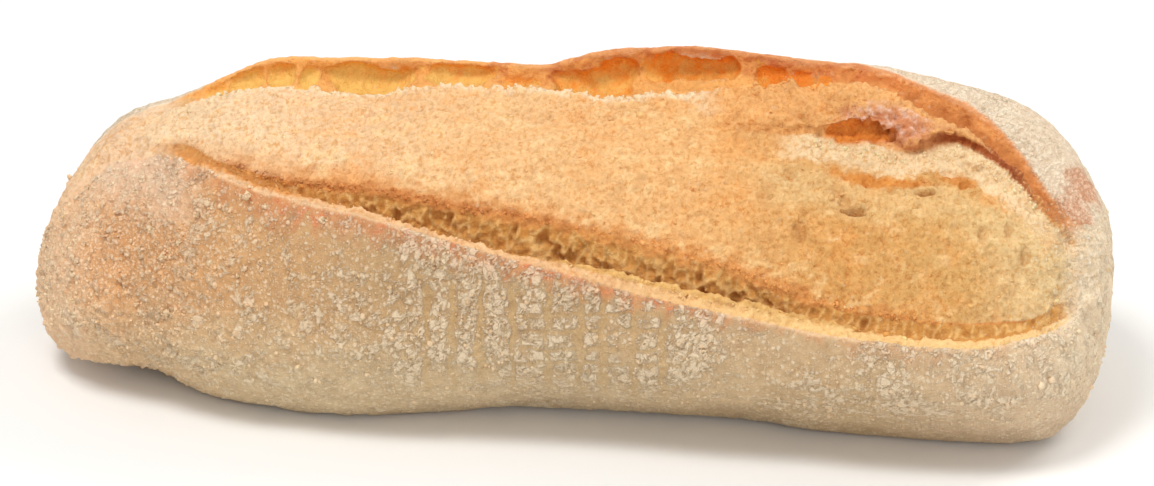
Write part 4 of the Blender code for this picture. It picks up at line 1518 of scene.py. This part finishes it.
# %% [markdown]
# ## Loose flour and crumbs
# Bits too small for the skin's mesh lie on it as grains of their own: lumps of flour baked on in
# front, most of them at the left end, and crumbs along every torn edge. Each is one small ball of
# twenty faces, squashed, turned and dented at random, sunk nearly halfway into the skin.

# %% Scatter flour grains and crumbs
SCATTER_SEED = 23
FLOUR_GRAINS = 3600
EDGE_CRUMBS = 1800
GRAIN_RADIUS = 0.15
CRUMB_RADIUS = 0.13
LARGEST_GRAIN = 0.50
GRAIN_LIFT = 0.10
FLOUR_PALE = "#F8DFBC"
CLUMP_PALE = "#F3D6AE"
CLUMP_CRUMBS = 9
# Clumps of flour that stand out: middle in millimetres and radius.
CLUMPS = (
    ((-61.2, -22.6, 29.1), 0.85), ((-59.0, -25.9, 26.3), 0.55), ((-52.4, -22.4, 34.1), 0.50),
    ((-65.1, -16.4, 32.6), 0.45), ((-57.8, -29.0, 18.3), 0.50), ((-59.4, -21.2, 31.5), 0.40),
    ((-46.0, -23.1, 35.9), 0.60), ((-42.7, -24.9, 35.3), 0.45), ((-53.8, -23.4, 32.6), 0.40),
    ((-33.3, -27.7, 34.8), 0.55), ((-15.9, -30.2, 30.4), 0.50), ((-56.4, -25.6, 28.7), 0.40),
    ((-50.7, -28.8, 27.3), 0.40), ((-46.0, -30.6, 26.0), 0.35), ((-37.7, -31.5, 26.6), 0.40),
)

dice = np.random.default_rng(SCATTER_SEED)
bpy.ops.object.select_all(action="DESELECT")
bpy.ops.mesh.primitive_ico_sphere_add(subdivisions=1, radius=1.0)
ball = bpy.context.object
ball_points = np.array([v.co for v in ball.data.vertices])
ball_faces = np.array([list(f.vertices) for f in ball.data.polygons])
bpy.data.objects.remove(ball)


def choose(weights, count):
    """Numbers of skin points drawn by weight, none twice."""
    return dice.choice(len(weights), size=count, replace=False, p=weights / weights.sum())


def lumps(name, middles, outward, radii, colours, longest):
    """One mesh of dented balls, each at its own middle, size, turn and colour."""
    count = len(middles)
    shape = ball_points[None] * (1 + 0.28 * dice.standard_normal((count, len(ball_points), 1)))
    shape = shape * dice.uniform(0.7, longest, (count, 1, 3))
    quaternions = dice.standard_normal((count, 4))
    w, a, b, c = (quaternions / np.linalg.norm(quaternions, axis=1)[:, None]).T
    turn = np.array([
        [1 - 2 * (b * b + c * c), 2 * (a * b - c * w), 2 * (a * c + b * w)],
        [2 * (a * b + c * w), 1 - 2 * (a * a + c * c), 2 * (b * c - a * w)],
        [2 * (a * c - b * w), 2 * (b * c + a * w), 1 - 2 * (a * a + b * b)],
    ]).transpose(2, 0, 1)
    shape = np.einsum("nij,nvj->nvi", turn, shape) * radii[:, None, None]
    spots = (middles + outward * (GRAIN_LIFT * radii)[:, None])[:, None] + shape
    spots = (spots.reshape(-1, 3) + [MARK_X, MARK_Y, 0]) * MM
    spots = np.clip(spots, np.array(cad_low), np.array(cad_high))
    faces = (ball_faces[None] + len(ball_points) * np.arange(count)[:, None, None]).reshape(-1, 3)
    mesh = bpy.data.meshes.new(name)
    mesh.from_pydata(spots.tolist(), [], faces.tolist())
    mesh.shade_smooth()
    store_colour(mesh, "browning", np.repeat(colours, len(ball_points), 0))
    for attribute in ("plates", "dust", "grain", "shine"):
        store(mesh, attribute, np.zeros(len(spots)))
    mesh.materials.append(crust.material)
    piece = bpy.data.objects.new(name, mesh)
    bpy.context.scene.collection.objects.link(piece)
    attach(piece, "root")
    print(name, "has", len(faces), "triangles")


print("faces of one grain:", len(ball_faces))

# %% [markdown]
# ## Flour grains
# The grains are thickest on the plates and at the granular left end. Clumps are a ball with
# smaller ones round it.

# %% Scatter the flour
points, normals = skin_points, skin_normals
granular = smooth(-36, -62, x) * smooth(8, 16, z)
thick = 0.10 + 0.5 * flour.plates + 1.6 * granular * smooth(-0.1, 0.5, mottle)
thick = front * smooth(2, 8, z) * thick
drawn = choose(thick + 0.02 * back * smooth(20, 30, z) * flour.dust, FLOUR_GRAINS)
radii = GRAIN_RADIUS * np.exp(0.42 * dice.standard_normal(FLOUR_GRAINS))
radii = np.minimum(radii, LARGEST_GRAIN)
clump_middles = np.array([middle for middle, _ in CLUMPS])
around = np.repeat(clump_middles, CLUMP_CRUMBS, 0)
clump_radii = np.array([r for _, r in CLUMPS])
crumb_reach = np.repeat(clump_radii, CLUMP_CRUMBS)
around = around + dice.normal(0, 0.55, around.shape) * crumb_reach[:, None]
middles = np.concatenate([points[drawn], clump_middles, around])
outward = np.concatenate([normals[drawn], 0 * clump_middles, 0 * around])
radii = np.concatenate([radii, clump_radii, 0.45 * crumb_reach])
own_share = dice.uniform(0.25, 0.75, (FLOUR_GRAINS, 1))
grain_shades = 1.2 * coat.shade[drawn] * (1 - own_share) + linear(FLOUR_PALE) * own_share
clump_shades = np.tile(linear(CLUMP_PALE), (len(middles) - FLOUR_GRAINS, 1))
shades = np.clip(np.concatenate([grain_shades, clump_shades]), 0, 0.98)
lumps("flour_grains", middles, outward, radii, shades, 1.25)


# %% [markdown]
# ## Crumbs
# Crumbs hang on every torn edge, most on the bloom's, and take the colour of the skin there.

# %% Scatter the crumbs
torn_edges = 1.0 * survey.near("bloom_edge", 0.6) * band(x, -52, 60, 4)
torn_edges += 0.6 * survey.near("back_edge", 0.5) * band(x, -60, 46, 3)
torn_edges += 0.5 * survey.near("rim", 0.5) * band(x, -50, 60, 3)
torn_edges += 0.3 * survey.near("lip_inner", 0.5) * band(x, -50, 60, 4)
tear_foot = 0.35 * band(step_share(survey), 0.05, 0.35, 0.1) * band(x, 36, 76, 3)
torn_edges += tear_foot * (np.abs(tear_away) < 2.5)
torn_edges += 0.015 * bloom
drawn = choose(torn_edges * (survey.strip >= 0), EDGE_CRUMBS)
radii = CRUMB_RADIUS * np.exp(0.40 * dice.standard_normal(EDGE_CRUMBS))
shades = np.clip(coat.shade[drawn] * dice.uniform(0.98, 1.25, (EDGE_CRUMBS, 1)), 0, 0.98)
lumps("torn_crumbs", points[drawn], normals[drawn], radii, shades, 1.9)
